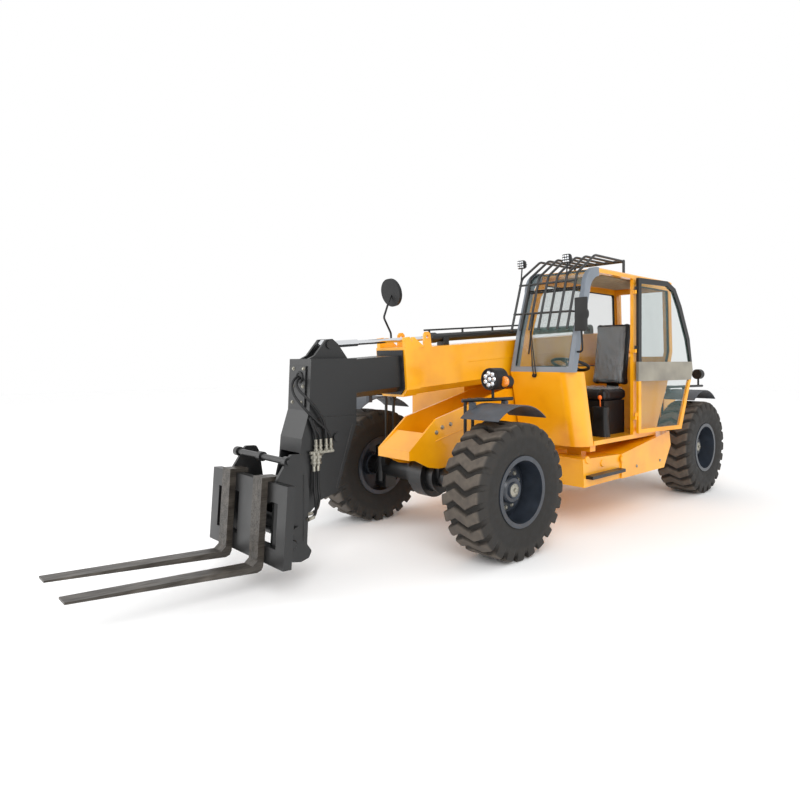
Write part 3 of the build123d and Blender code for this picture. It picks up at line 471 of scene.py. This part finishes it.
# lugs rise from carcass to top by a mask of the place in the pitch;
# each row is turned by the zigzag at its y, so that the columns follow the lugs
def tyreForm(center):
    half = tyreLook["carcass"]
    base = np.array(half + [(0.0, 0.502)] + [(-y, r) for y, r in half[::-1]])
    top = base.copy()
    topRadius = float(np.ptp([corner[2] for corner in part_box("tyre_front_left")])) / 2
    for number in range(6, len(base) - 6):
        mirror = len(base) - 1 - number
        known = tyreLook["lugTop"].get(min(number, mirror))
        width, reach = known if known else (abs(base[number, 0]), topRadius)
        top[number] = (math.copysign(width, base[number, 0]), reach)
    top[len(half), 0] = 0.0
    pitch = 2 * pi / tyreLook["lugs"]
    halfTop, halfFoot = tyreLook["topHalf"] / topRadius, tyreLook["footHalf"] / topRadius
    soft = 0.0035 / topRadius
    stops = np.array([-pitch / 2, -halfFoot - soft, -halfFoot + soft, -halfTop - soft, -halfTop + soft,
                      -halfTop / 2, 0.0,
                      halfTop / 2, halfTop - soft, halfTop + soft, halfFoot - soft, halfFoot + soft])
    mask = np.array([0, 0, 0.08, 0.9, 1, 1, 1, 1, 1, 0.9, 0.08, 0])
    angle = (np.arange(tyreLook["lugs"])[:, None] * pitch + stops).ravel()
    mask = np.tile(mask, tyreLook["lugs"])
    shape = base[:, None] + mask[None, :, None] * (top - base)[:, None]
    turn = angle[None, :] + (np.interp(base[:, 0], *tyreLook["zigzag"]) / topRadius)[:, None]
    points = np.stack([shape[..., 1] * np.cos(turn), shape[..., 0], shape[..., 1] * np.sin(turn)],
                      -1) + center
    raised = np.linalg.norm(top - base, axis=1) > 0.001
    # share of the brown-grey tread tone: most on the lug tops across the middle, a little on the raised rows,
    # none in the grooves
    treadTopShare = mask[None, :] * (raised & (np.abs(base[:, 0]) < 0.17))[:, None] * 0.9 + 0.1 * raised[:, None]
    return (points.reshape(-1, 3), gridFaces(len(base), len(angle), True)), treadTopShare.ravel()


for corner in ("front_left", "front_right", "rear_left", "rear_right"):
    low, high = np.array(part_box("tyre_" + corner))
    center = (low + high) / 2
    form, treadTopShare = tyreForm(center)
    tyre = addPiece("lugTyre_" + corner, form, "tyreRubber", "wheel_" + corner, 30, treadTopShare)
    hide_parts("tyre_" + corner)
    outward = np.array([0, math.copysign(1, center[1]), 0])
    # twelve wheel nuts round the hub, and its bright cap with a drain plug
    ring = [center + outward * 0.3 + 0.145 * np.array([math.cos(a), 0, math.sin(a)])
            for a in np.arange(12) * pi / 6 + 0.13]
    boltRow("wheelNuts_" + corner, "rim_" + corner, ring, -outward, 0.0125, "zincPlate", "wheel_" + corner)
    nose, normal = seated("rim_" + corner, center + outward * 0.3, -outward)
    hubCap = turnedForm([(-0.01, 0), (-0.01, 0.052), (0.004, 0.052), (0.008, 0.046), (0.009, 0.03),
                         (0.010, 0.016), (0.010, 0.015, 1), (0.019, 0.015, 1), (0.021, 0.012), (0.021, 0)],
                        nose, normal, 36)
    addPiece("hubCap_" + corner, hubCap, "zincPlate", "wheel_" + corner)
    # valve stem through the rim's slope
    stemStart = center + outward * 0.3 + 0.2 * np.array([0.5, 0, 0.86])
    stemFoot, normal = seated("rim_" + corner, stemStart, -outward)
    addPiece("valve_" + corner, turnedForm([(-0.004, 0), (-0.004, 0.007), (0.012, 0.006), (0.03, 0.004),
                                            (0.045, 0.004), (0.047, 0)],
             stemFoot, unit(outward + np.array([-0.25, 0, -0.4])), 12), "zincPlate", "wheel_" + corner)
print("stage: tyres and wheel fittings")

# head: hoses out of its nose to the couplers on its side, and two that hang down to the carriage
headSide, couplerY, couplerZ = 0.15, 0.174, 0.89
hoseRoutes = {
    "longHose": [(1.345, 0.008, 1.44), (1.40, 0.022, 1.43), (1.44, 0.07, 1.33), (1.40, 0.16, 1.225),
                 (1.30, 0.184, 1.12), (1.172, 0.176, 1.02), (1.172, couplerY, 0.94)],
    "shortHose": [(1.345, 0.036, 1.432), (1.385, 0.048, 1.425), (1.412, 0.096, 1.36), (1.372, 0.172, 1.29),
                  (1.29, 0.186, 1.20), (1.212, 0.176, 1.08), (1.212, couplerY, 0.94)],
    "sideHoseRear": [(1.33, 0.176, 1.128), (1.306, 0.176, 1.058), (1.262, 0.176, 1.01),
                     (1.262, couplerY, 0.94)],
    "sideHoseFront": [(1.352, 0.176, 1.15), (1.328, 0.176, 1.08), (1.30, 0.176, 1.01),
                      (1.30, couplerY, 0.94)],
}
dropRoutes = {
    "dropHoseUpper": [(1.282, couplerY, 0.802), (1.282, couplerY, 0.64), (1.292, 0.214, 0.56),
                      (1.375, 0.30, 0.49), (1.462, 0.325, 0.496)],
    "dropHoseLower": [(1.316, couplerY, 0.802), (1.316, couplerY, 0.64), (1.326, 0.214, 0.55),
                      (1.40, 0.335, 0.47), (1.462, 0.345, 0.466)],
}
hoseDiameter = 0.02


# points of the route's smooth spline
def splinePath(route):
    curve = bpy.data.curves.new("routeSpline", "CURVE")
    curve.dimensions = "3D"
    curve.resolution_u = 16
    spline = curve.splines.new("NURBS")
    spline.points.add(len(route) - 1)
    for point, place in zip(spline.points, route):
        point.co = (*at(*place), 1.0)
    spline.order_u = 3
    spline.use_endpoint_u = True
    carrier = bpy.data.objects.new("routeSpline", curve)
    bpy.context.collection.objects.link(carrier)
    mesh = bpy.data.meshes.new_from_object(carrier)
    path = np.empty(len(mesh.vertices) * 3)
    mesh.vertices.foreach_get("co", path)
    bpy.data.objects.remove(carrier)
    bpy.data.curves.remove(curve)
    bpy.data.meshes.remove(mesh)
    return path.reshape(-1, 3)


ferruleProfile = [(-0.046, 0), (-0.046, 0.012), (-0.03, 0.0128), (-0.028, 0.0118), (-0.018, 0.0128),
                  (-0.016, 0.0118),
                  (-0.008, 0.012), (-0.008, 0.0125, 1), (0.008, 0.0125, 1), (0.008, 0)]
for name, route in {**hoseRoutes, **dropRoutes}.items():
    path = splinePath(route)
    rides = None if name in dropRoutes else "boom_extension"
    hose = addPiece(name, sweptForm(path, roundSection(hoseDiameter / 2, 14)), "hoseRubber", rides)
    # the hanging ones ride on no body: their place is baked into the mesh
    if name in dropRoutes:
        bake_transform(hose)
    # crimped ferrule and union nut where it ends
    farBody = "carriage" if name in dropRoutes else "boom_extension"
    addPiece(name + "Ferrule", turnedForm(ferruleProfile, path[-1], unit(path[-1] - path[-4])),
             "zincPlate", farBody)
    if name in dropRoutes:
        addPiece(name + "TopFerrule", turnedForm(ferruleProfile, path[0], unit(path[0] - path[3])),
                 "zincPlate", "boom_extension")

# quick couplers: turned bodies along a cross block, silver steel
couplerProfile = [(0.0, 0), (0.0, 0.011), (0.012, 0.011), (0.012, 0.0145, 1), (0.026, 0.0145, 1),
                  (0.026, 0.0125), (0.038, 0.0125), (0.04, 0.0155), (0.05, 0.0155), (0.052, 0.0105),
                  (0.052, 0)]
uprights = [turnedForm(couplerProfile, at(x, couplerY, couplerZ), (0, 0, 1))
            for x in (1.172, 1.212, 1.262, 1.30)]
hangers = [turnedForm(couplerProfile, at(x, couplerY, couplerZ), (0, 0, -1), size=1.6)
           for x in (1.282, 1.316)]
addPiece("quickCouplers", joined(uprights + hangers), "zincPlate", "boom_extension")
crossPath = alongRuns([at(1.15, couplerY, couplerZ), at(1.35, couplerY, couplerZ)], 0.03)
bracketPath = alongRuns([at(1.25, headSide - 0.004, couplerZ - 0.03),
                         at(1.25, couplerY, couplerZ - 0.01)], 0.02)
addPiece("couplerRail", joined([sweptForm(crossPath, roundSection(0.012, 16)),
         sweptForm(bracketPath, np.array([(-0.02, -0.004), (0.02, -0.004), (0.02, 0.004), (-0.02, 0.004)]))]),
         "zincPlate", "boom_extension")
# rubber grommet where the hoses leave the nose
nosePlace, noseNormal = seated("boom_head", at(1.6, 0.02, 1.436), (-1, 0, 0))
addPiece("hoseGrommet", turnedForm([(-0.004, 0), (-0.004, 0.046), (0.006, 0.046), (0.010, 0.042),
                                    (0.010, 0.034), (0.004, 0.03), (0.004, 0)],
         nosePlace, noseNormal, 36), "hoseRubber", "boom_extension")
print("stage: hoses and couplers")

# bolts, each seated by a ray: node, starts from the front axle, direction, head radius, finish, body
boltRows = {
    "noseBolts": ("boom_head", [(1.6, y, z) for y, z in ((-0.07, 1.50), (0.07, 1.50), (-0.07, 1.37),
                                                         (0.07, 1.37), (-0.07, 1.25), (0.055, 1.25))],
                  (-1, 0, 0), 0.010, "zincPlate", "boom_extension"),
    "tankBolts": ("side_tank", [(x, 1.5, 0.5) for x in (-2.4, -1.9, -1.2)], (0, -1, 0), 0.011,
                  "zincPlate", "chassis"),
    "noseGussetBolts": ("chassis_frame", [(x, 0.7, z) for x, z in ((0.05, 0.98), (0.12, 0.94), (-0.05, 1.0))],
                        (0, -1, 0), 0.013, "zincPlate", "chassis"),
    "podBolts": ("engine_pod", [(x, -2.0, 0.62) for x in (-0.85, -1.3, -1.7, -2.1, -2.55)], (0, 1, 0),
                 0.012, "zincPlate", "chassis"),
    "hoodBolts": ("engine_hood", [(x, -2.0, 1.16) for x in (-0.85, -2.55)], (0, 1, 0), 0.012, "zincPlate",
                  "hood"),
    "counterweightBolts": ("counterweight", [(-4.02, y, 1.6) for y in (-0.26, -0.09, 0.09, 0.26)],
                           (0, 0, -1), 0.019, "zincPlate", "chassis"),
}
for name, (node, starts, direction, size, finish, body) in boltRows.items():
    boltRow(name, node, [at(*start) for start in starts], direction, size, finish, body)
capSeat = seated("carriage_frame", at(1.586, 1.0, 0.313), (0, -1, 0))
caps = [capSeat, (np.array([at(1.565, 0, 0)[0], capSeat[0][1], 0.4]), capSeat[1])]
capProfile = [(-0.004, 0), (-0.004, 0.034), (0.006, 0.034), (0.012, 0.028), (0.013, 0.012), (0.013, 0)]
addPiece("carriageCaps", joined([turnedForm(capProfile, place, normal) for place, normal in caps]),
         "satinBlackPaint", "carriage")
plugs = [seated("side_tank", at(x, 1.5, z), (0, -1, 0))
         for x, z in ((-1.62, 0.60), (-1.28, 0.60), (-1.02, 0.66))]
addPiece("tankPlugs", joined([turnedForm(capProfile, place, normal, 32) for place, normal in plugs]),
         "yellowEnamel", "chassis")
print("stage: bolts and plugs")

# weld beads and sealed seams: node, runs, direction of the rays, half width, finish, body
beads = {
    "headSideWeld": ("boom_head", [[at(1.345, 0.5, 1.145), at(0.95, 0.5, 1.145)],
                                   [at(0.96, 0.5, 1.07), at(1.11, 0.5, 0.6)]],
                     (0, -1, 0), 0.0045, "satinBlackPaint", "boom_extension"),
    "boomSeam": ("boom_outer_tube", [[at(-2.9, 0.5, 1.74), at(-0.3, 0.5, 1.55)]], (0, -1, 0), 0.004,
                 "yellowEnamel", "boom"),
    "noseWeld": ("chassis_frame", [[at(-0.209, 0.9, 0.945), at(0.13, 0.9, 0.865)]], (0, -1, 0), 0.006,
                 "yellowEnamel", "chassis"),
    "carriageWeld": ("carriage_frame", [[at(1.50, 0.6, 0.32), at(1.50, 0.6, 0.78)]], (0, -1, 0), 0.005,
                     "satinBlackPaint", "carriage"),
}
for name, (node, runs, direction, width, finish, body) in beads.items():
    beadOn(name, node, runs, direction, width, finish, body)
print("stage: weld beads")

# lamps: pearly LED cups over each lens, amber indicator beside
domeProfile = [(-0.004, 0), (-0.004, 1.0), (0.001, 1.0), (0.004, 0.94), (0.009, 0.74), (0.012, 0.4),
               (0.013, 0)]


# a lens dome: the profile's radius shares times the radius
def domeForm(place, axis, radius):
    return turnedForm([(along, share * radius) for along, share in domeProfile], place, axis)


for side, hand in (("Left", 1), ("Right", -1)):
    lens, normal = seated("headlamps", at(0.6, hand * 0.70, 1.408), (-1, 0, 0))
    rim = turnedForm([(-0.004, 0), (-0.004, 0.09), (0.010, 0.09), (0.013, 0.086), (0.010, 0.078),
                      (0.002, 0.078), (0.002, 0)], lens, normal, 40)
    addPiece("lampRim" + side, rim, "grainedBlackPlastic", "chassis")
    spots = [(0, 0)] + [(0.05 * math.cos(a), 0.05 * math.sin(a)) for a in np.arange(7) * 2 * pi / 7]
    domes = [domeForm(lens + normal * 0.003 + np.array([0, y, z]), normal, 0.021) for y, z in spots]
    addPiece("ledCups" + side, joined(domes), "ledOptic", "chassis")
    amber, normal = seated("headlamps", at(0.6, hand * 0.82, 1.388), (-1, 0, 0))
    place = np.array([amber[0], hand * 0.80, 1.388])
    addPiece("amberLens" + side, turnedForm([(-0.002, 0), (-0.002, 0.045), (0.012, 0.044), (0.02, 0.036),
                                             (0.022, 0.03), (0.024, 0)],
             place, (1, 0, 0), 32), "amberLens", "chassis")
    tailBox = np.array(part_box("tail_lamps"))
    tail, normal = seated("tail_lamps", (tailBox[0, 0] - 0.3, hand * (tailBox[1, 1] - 0.062), 1.388),
                          (1, 0, 0))
    addPiece("tailLens" + side, turnedForm([(-0.002, 0), (-0.002, 0.05), (0.008, 0.049), (0.014, 0.04),
                                            (0.015, 0)],
             tail, (-1, 0, 0), 32), "amberLens", "chassis")

# square work lamps ahead of the guard's slope: a rounded shell, five fins behind and nine LED cups in front
workLamp = {"size": 0.084, "lean": 0.12, "places": ((-1.03, 0.228), (-1.03, 0.765)), "z": 2.512}


# a rounded square: four quarter circles, each moved out to its corner by the half less the rounding
def squareSection(half, rounding, steps=5):
    angle = np.linspace(0, pi / 2, steps)
    corner = np.stack([np.cos(angle), np.sin(angle)], -1) * rounding
    turns = [(1, 1), (-1, 1), (-1, -1), (1, -1)]
    arcs = []
    for number, (a, b) in enumerate(turns):
        cosine, sine = math.cos(number * pi / 2), math.sin(number * pi / 2)
        turned = np.stack([corner[:, 0] * cosine - corner[:, 1] * sine,
                           corner[:, 0] * sine + corner[:, 1] * cosine], -1)
        arcs.append(turned + np.array([a, b]) * (half - rounding))
    return np.concatenate(arcs)


for number, (x, y) in enumerate(workLamp["places"]):
    half = workLamp["size"] / 2
    axis = unit((1, 0, -workLamp["lean"]))
    middle = at(x, y, workLamp["z"])
    path = np.array([middle + axis * t for t in (-0.035, -0.03, -0.012, 0.0, 0.018, 0.022)])
    sections = np.array([squareSection(half * s, 0.012 * s) for s in (0.7, 0.76, 0.9, 1.0, 1.0, 0.94)])
    shell = sweptForm(path, sections)
    fins = [sweptForm(np.array([middle - axis * 0.05, middle - axis * 0.028]) + (0, dy, 0),
                      squareSection(0.003, 0.001))
            for dy in (-0.024, -0.012, 0.0, 0.012, 0.024)]
    foot, footNormal = seated("screen_guard", at(x + 0.15, y, workLamp["z"] - 0.13), (-1, 0, -0.2))
    stem = sweptForm(alongRuns([foot - footNormal * 0.004, middle - np.array([0.0, 0, half * 0.9])],
                               0.02), roundSection(0.007))
    addPiece("workLamp%d" % number, joined([shell, stem] + fins), "grainedBlackPlastic", "chassis")
    upFace = np.array([workLamp["lean"], 0, 1.0])
    cups = [domeForm(middle + axis * 0.0225 + np.array([0, dy, 0]) + upFace * dz, axis, 0.0105)
            for dy in (-0.024, 0, 0.024) for dz in (-0.024, 0, 0.024)]
    addPiece("workLampLeds%d" % number, joined(cups), "ledOptic", "chassis")
print("stage: lamps")


# seat: each pad is its CAD block, drawn in, remeshed and blown up by cloth pressure, its swelling capped
def padded(name, node, cap, seams):
    low, high = np.array(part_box(node))
    middle, reach = (low + high) / 2, (high - low)
    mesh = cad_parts[node].data.copy()
    mesh.materials.clear()
    piece = bpy.data.objects.new(name, mesh)
    bpy.context.collection.objects.link(piece)
    places = np.empty(len(mesh.vertices) * 3)
    mesh.vertices.foreach_get("co", places)
    places = middle + (places.reshape(-1, 3) - middle) * (1 - 1.6 * cap / reach)
    mesh.vertices.foreach_set("co", places.ravel())
    remesh = piece.modifiers.new("remesh", "REMESH")
    remesh.mode, remesh.voxel_size = "VOXEL", 0.008
    bpy.context.view_layer.update()
    graph = bpy.context.evaluated_depsgraph_get()
    piece.data = bpy.data.meshes.new_from_object(piece.evaluated_get(graph))
    piece.modifiers.clear()
    before = np.empty(len(piece.data.vertices) * 3)
    piece.data.vertices.foreach_get("co", before)
    before = before.reshape(-1, 3)
    after = before
    cloth = piece.modifiers.new("cloth", "CLOTH")
    cloth.settings.use_pressure = True
    cloth.settings.uniform_pressure_force = 4.0
    cloth.settings.effector_weights.gravity = 0.0
    cloth.settings.quality = 4
    for step in range(1, 21):
        bpy.context.scene.frame_set(step)
    graph = bpy.context.evaluated_depsgraph_get()
    blown = bpy.data.meshes.new_from_object(piece.evaluated_get(graph))
    after = np.empty(len(blown.vertices) * 3)
    blown.vertices.foreach_get("co", after)
    after = after.reshape(-1, 3)
    piece.modifiers.clear()
    bpy.context.scene.frame_set(1)
    shift = after - before
    length = np.linalg.norm(shift, axis=1)[:, None]
    after = before + shift * np.minimum(1, cap / np.maximum(length, 1e-9))
    # sewn channels: the face sinks by 8 mm along each seam, fading over 9 mm
    for axis, place in seams:
        away = np.abs(after[:, axis] - middle[axis] - place)
        inward = (middle - after) / np.linalg.norm(middle - after, axis=1)[:, None]
        after += inward * (0.008 * np.exp(-(away / 0.009) ** 2))[:, None]
    after = np.clip(after, low, high)
    piece.data.vertices.foreach_set("co", after.ravel())
    piece.data.update()
    piece.data.materials.append(made["seatVinyl"])
    piece.data.polygons.foreach_set("use_smooth", np.ones(len(piece.data.polygons), bool))
    finer = piece.modifiers.new("finer", "SUBSURF")
    finer.levels = finer.render_levels = 1
    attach(piece, "chassis")
    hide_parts(node)
    return piece


cushion = padded("seatCushionPad", "seat_cushion", 0.022, ((1, -0.13), (1, 0.13), (0, 0.12)))
backrest = padded("seatBackPad", "seat_back", 0.022, ((1, -0.13), (1, 0.13)))
bpy.context.view_layer.update()


# film over a pad: a grid met on the pad by rays, lifted 3 mm and crumpled by fourteen crossed sines
def filmOver(name, pad, starts, direction, seed):
    rows, cols = starts.shape[:2]
    points = np.empty_like(starts)
    for row in range(rows):
        for col in range(cols):
            found, place, normal, face = pad.ray_cast(Vector(starts[row, col]), Vector(direction))
            points[row, col] = place if found else np.nan
    good = ~np.isnan(points[..., 0])
    rowsGood = np.where(good.all(axis=1))[0]
    points = points[rowsGood[0]:rowsGood[-1] + 1]
    rows, cols = points.shape[:2]
    u, v = np.meshgrid(np.linspace(0, 1, rows), np.linspace(0, 1, cols), indexing="ij")
    rng = np.random.default_rng(seed)
    lift = np.zeros_like(u)
    for _ in range(14):
        a, b, phase = rng.uniform(4, 26), rng.uniform(-22, 22), rng.uniform(0, 2 * pi)
        lift += np.abs(np.sin(a * u + b * v + phase)) ** 4 * 0.0026
    points = points - np.asarray(direction) * (0.003 + lift)[..., None]
    piece = addPiece(name, (points.reshape(-1, 3), gridFaces(rows, cols, False, False)), "clearFilm",
                     "chassis", 180)


low, high = np.array(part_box("seat_cushion"))
grid = np.stack(np.meshgrid(np.linspace(low[0] + 0.05, high[0] - 0.05, 44),
                            np.linspace(low[1] + 0.05, high[1] - 0.05, 42), indexing="ij"), -1)
filmOver("cushionFilm", cushion, np.concatenate([grid, np.full((44, 42, 1), high[2] + 0.2)], -1),
         (0, 0, -1), 3)
low, high = np.array(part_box("seat_back"))
grid = np.stack(np.meshgrid(np.linspace(low[2] + 0.06, high[2] - 0.06, 60),
                            np.linspace(low[1] + 0.05, high[1] - 0.05, 42), indexing="ij"), -1)
filmOver("backrestFilm", backrest, np.stack([np.full((60, 42), high[0] + 0.2), grid[..., 1],
                                             grid[..., 0]], -1), (-1, 0, 0), 8)
print("stage: seat")

# cab: wiper, knob, seals round the panes, liner
bladeRuns = [(-0.5, 0.42, 1.62), (-0.5, 0.40, 2.02)]
wiperStops = alongRuns([at(*place) for place in bladeRuns], 0.03)
met = [seated("cab_glass", place, (-1, 0, 0)) for place in wiperStops]
blade = np.array([place + normal * 0.008 for place, normal in met])
addPiece("wiperBlade", sweptForm(blade, np.array([(-0.004, -0.008), (0.004, -0.008), (0.0015, 0.008),
                                                (-0.0015, 0.008)])), "hoseRubber", "chassis")
pivot, normal = seated("cab_front_panel", at(0.2, 0.52, 1.42), (-1, 0, 0))
middleBlade = blade[len(blade) // 2] + met[len(blade) // 2][1] * 0.012
arms = [sweptForm(softened([pivot + np.array([0.012, dy, 0]), pivot + np.array([0.03, dy, 0.05]),
                            middleBlade + np.array([0.008, dy * 0.3, 0])], passes=2), roundSection(0.005))
        for dy in (0.0, 0.03)]
boss = turnedForm([(-0.01, 0), (-0.01, 0.02), (0.02, 0.018), (0.026, 0.012), (0.026, 0)], pivot, (1, 0, 0))
addPiece("wiperArms", joined(arms + [boss]), "grainedBlackPlastic", "chassis")


# smallest pane that gets a seal, across
smallestPane = 0.25


# outlines of a node's flat faces that look one way: edges with one such face, chained into loops of points
def paneOutlines(node, axis):
    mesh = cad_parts[node].data
    look = bmesh.new()
    look.from_mesh(mesh)
    bmesh.ops.remove_doubles(look, verts=look.verts, dist=0.0001)
    faces = {face for face in look.faces if face.normal @ Vector(axis) > 0.99}
    loops = []
    # kept in the mesh's own order, so that the loops start at the same places in every run
    edges = {edge: True for edge in look.edges if sum(face in faces for face in edge.link_faces) == 1}
    while edges:
        edge = next(iter(edges))
        edges.pop(edge)
        chain = [edge.verts[0], edge.verts[1]]
        while chain[-1] is not chain[0]:
            following = next((e for e in chain[-1].link_edges if e in edges), None)
            if following is None:
                break
            edges.pop(following)
            chain.append(following.other_vert(chain[-1]))
        points = np.array([vert.co for vert in chain[:-1]])
        if len(points) > 3 and np.ptp(points, axis=0).max() > smallestPane:
            loops.append(points)
    look.free()
    return loops


sealSection = np.array([(-0.011, -0.005), (0.011, -0.005), (0.012, 0.0), (0.008, 0.006), (-0.008, 0.006),
                        (-0.012, 0.0)])
for node, body in (("cab_glass", "chassis"), ("door_glass", "door")):
    forms = []
    for axis in ((0, 1, 0), (0, -1, 0), (1, 0, 0), (-1, 0, 0)):
        for loop in paneOutlines(node, axis):
            ring = np.concatenate([loop, loop[:1]])
            path = alongRuns(ring, 0.03)[:-1] + np.array(axis) * 0.002
            forms.append(sweptForm(path, sealSection, closed=True))
    if forms:
        addPiece("seal_" + node, joined(forms), "hoseRubber", body, 60)
consoleFoot, normal = seated("cab_floor", at(-1.58, 0.78, 1.6), (0, 0, -1))
consolePath = consoleFoot + np.array([(0, 0, z) for z in (-0.002, 0.05, 0.2, 0.27, 0.29, 0.296)])
consoleSections = np.array([squareSection(0.05 * share, 0.02 * share) * (1, 1.7)
                            for share in (1.1, 1.0, 0.85, 0.95, 0.9, 0.7)])
addPiece("sideConsole", sweptForm(consolePath, consoleSections), "grainedBlackPlastic", "chassis")
knobFoot = consolePath[-1]
addPiece("orangeKnob", turnedForm([(-0.01, 0), (-0.01, 0.006), (0.07, 0.006), (0.072, 0.014),
                                   (0.085, 0.021), (0.1, 0.02), (0.112, 0.01), (0.114, 0)],
         knobFoot, (0.1, 0, 1)), "orangePlastic", "chassis")
roofPlace, normal = seated("cab_roof", at(-1.5, 0.59, 1.9), (0, 0, 1))
low, high = np.array(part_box("cab_roof"))
u, v = np.meshgrid(np.linspace(0, 1, 24), np.linspace(0, 1, 60), indexing="ij")
inset = np.minimum(np.minimum(u, 1 - u), np.minimum(v, 1 - v))
ribs = (np.sin(v * 60) > 0.3) & (v > 0.62) & (v < 0.9) & (u > 0.3) & (u < 0.7)
liner = np.stack([low[0] + 0.12 + v * (high[0] - low[0] - 0.3), low[1] + 0.08 + u * (high[1] - low[1] - 0.16),
                  roofPlace[2] - 0.004 - 0.014 * np.minimum(1, 8 * inset) - 0.004 * ribs], -1)
addPiece("roofLiner", (liner.reshape(-1, 3), gridFaces(24, 60, False, False)), "tanLiner", "chassis", 60)
print("stage: cab trim")

# plain pale floor and soft studio light
studio = {"floorTone": "FEFEFE", "floorSize": 60.0, "skyTone": "FFFFFF", "skyStrength": 1.0,
          "keyPower": 700.0, "keyPlace": (7.0, 8.5, 7.5), "keySize": 6.0,
          "fillPower": 200.0, "fillPlace": (8.0, -5.0, 4.0), "fillSize": 5.0}


# a flat square of floor at z = 0
def addFloor():
    half = studio["floorSize"] / 2
    mesh = bpy.data.meshes.new("studioFloor")
    mesh.from_pydata([(-half, -half, 0), (half, -half, 0), (half, half, 0), (-half, half, 0)], [],
                     [(0, 1, 2, 3)])
    floor = bpy.data.objects.new("studioFloor", mesh)
    bpy.context.collection.objects.link(floor)
    material, tree, shader = newMaterial("paleBackdrop",
                                         {"Base Color": hexColor(studio["floorTone"]), "Roughness": 0.9})
    mesh.materials.append(material)


# an area lamp aimed at a point 1 m above the origin: pan from the aim's x and y, tilt from its fall
def addLamp(name, power, place, size):
    lamp = bpy.data.lights.new(name, "AREA")
    lamp.energy = power
    lamp.size = size
    body = bpy.data.objects.new(name, lamp)
    bpy.context.collection.objects.link(body)
    body.location = place
    aim = -np.array(place) + np.array([0, 0, 1.0])
    pan = math.atan2(aim[0], -aim[1])
    tilt = math.atan2(math.hypot(aim[0], aim[1]), -aim[2])
    body.rotation_euler = (tilt, 0, pan + pi)


addFloor()
addLamp("keyLight", studio["keyPower"], studio["keyPlace"], studio["keySize"])
addLamp("fillLight", studio["fillPower"], studio["fillPlace"], studio["fillSize"])
world = bpy.data.worlds.new("studioSky")
world.use_nodes = True
world.node_tree.nodes["Background"].inputs["Color"].default_value = hexColor(studio["skyTone"])
world.node_tree.nodes["Background"].inputs["Strength"].default_value = studio["skyStrength"]
bpy.context.scene.world = world
bpy.context.scene.view_settings.view_transform = "Standard"

# the camera stands ahead and to the left, at eye height
view = {"place": (4.3845, 4.0432, 1.5633), "aim": (-0.7134, -0.7007, 0.0025), "lens": 27.57,
        "shift": (-0.0728, -0.0516)}


# a camera turned along its aim: tilt from the aim's rise over its run, pan from its x and y
def addCamera():
    camera = bpy.data.cameras.new("studioCamera")
    camera.lens = view["lens"]
    camera.sensor_width = 36.0
    camera.shift_x, camera.shift_y = view["shift"]
    body = bpy.data.objects.new("studioCamera", camera)
    bpy.context.collection.objects.link(body)
    body.location = view["place"]
    aim = view["aim"]
    body.rotation_euler = (math.atan2(math.hypot(aim[0], aim[1]), -aim[2]), 0, math.atan2(-aim[0], aim[1]))
    bpy.context.scene.camera = body


addCamera()
print("stage: studio and camera")
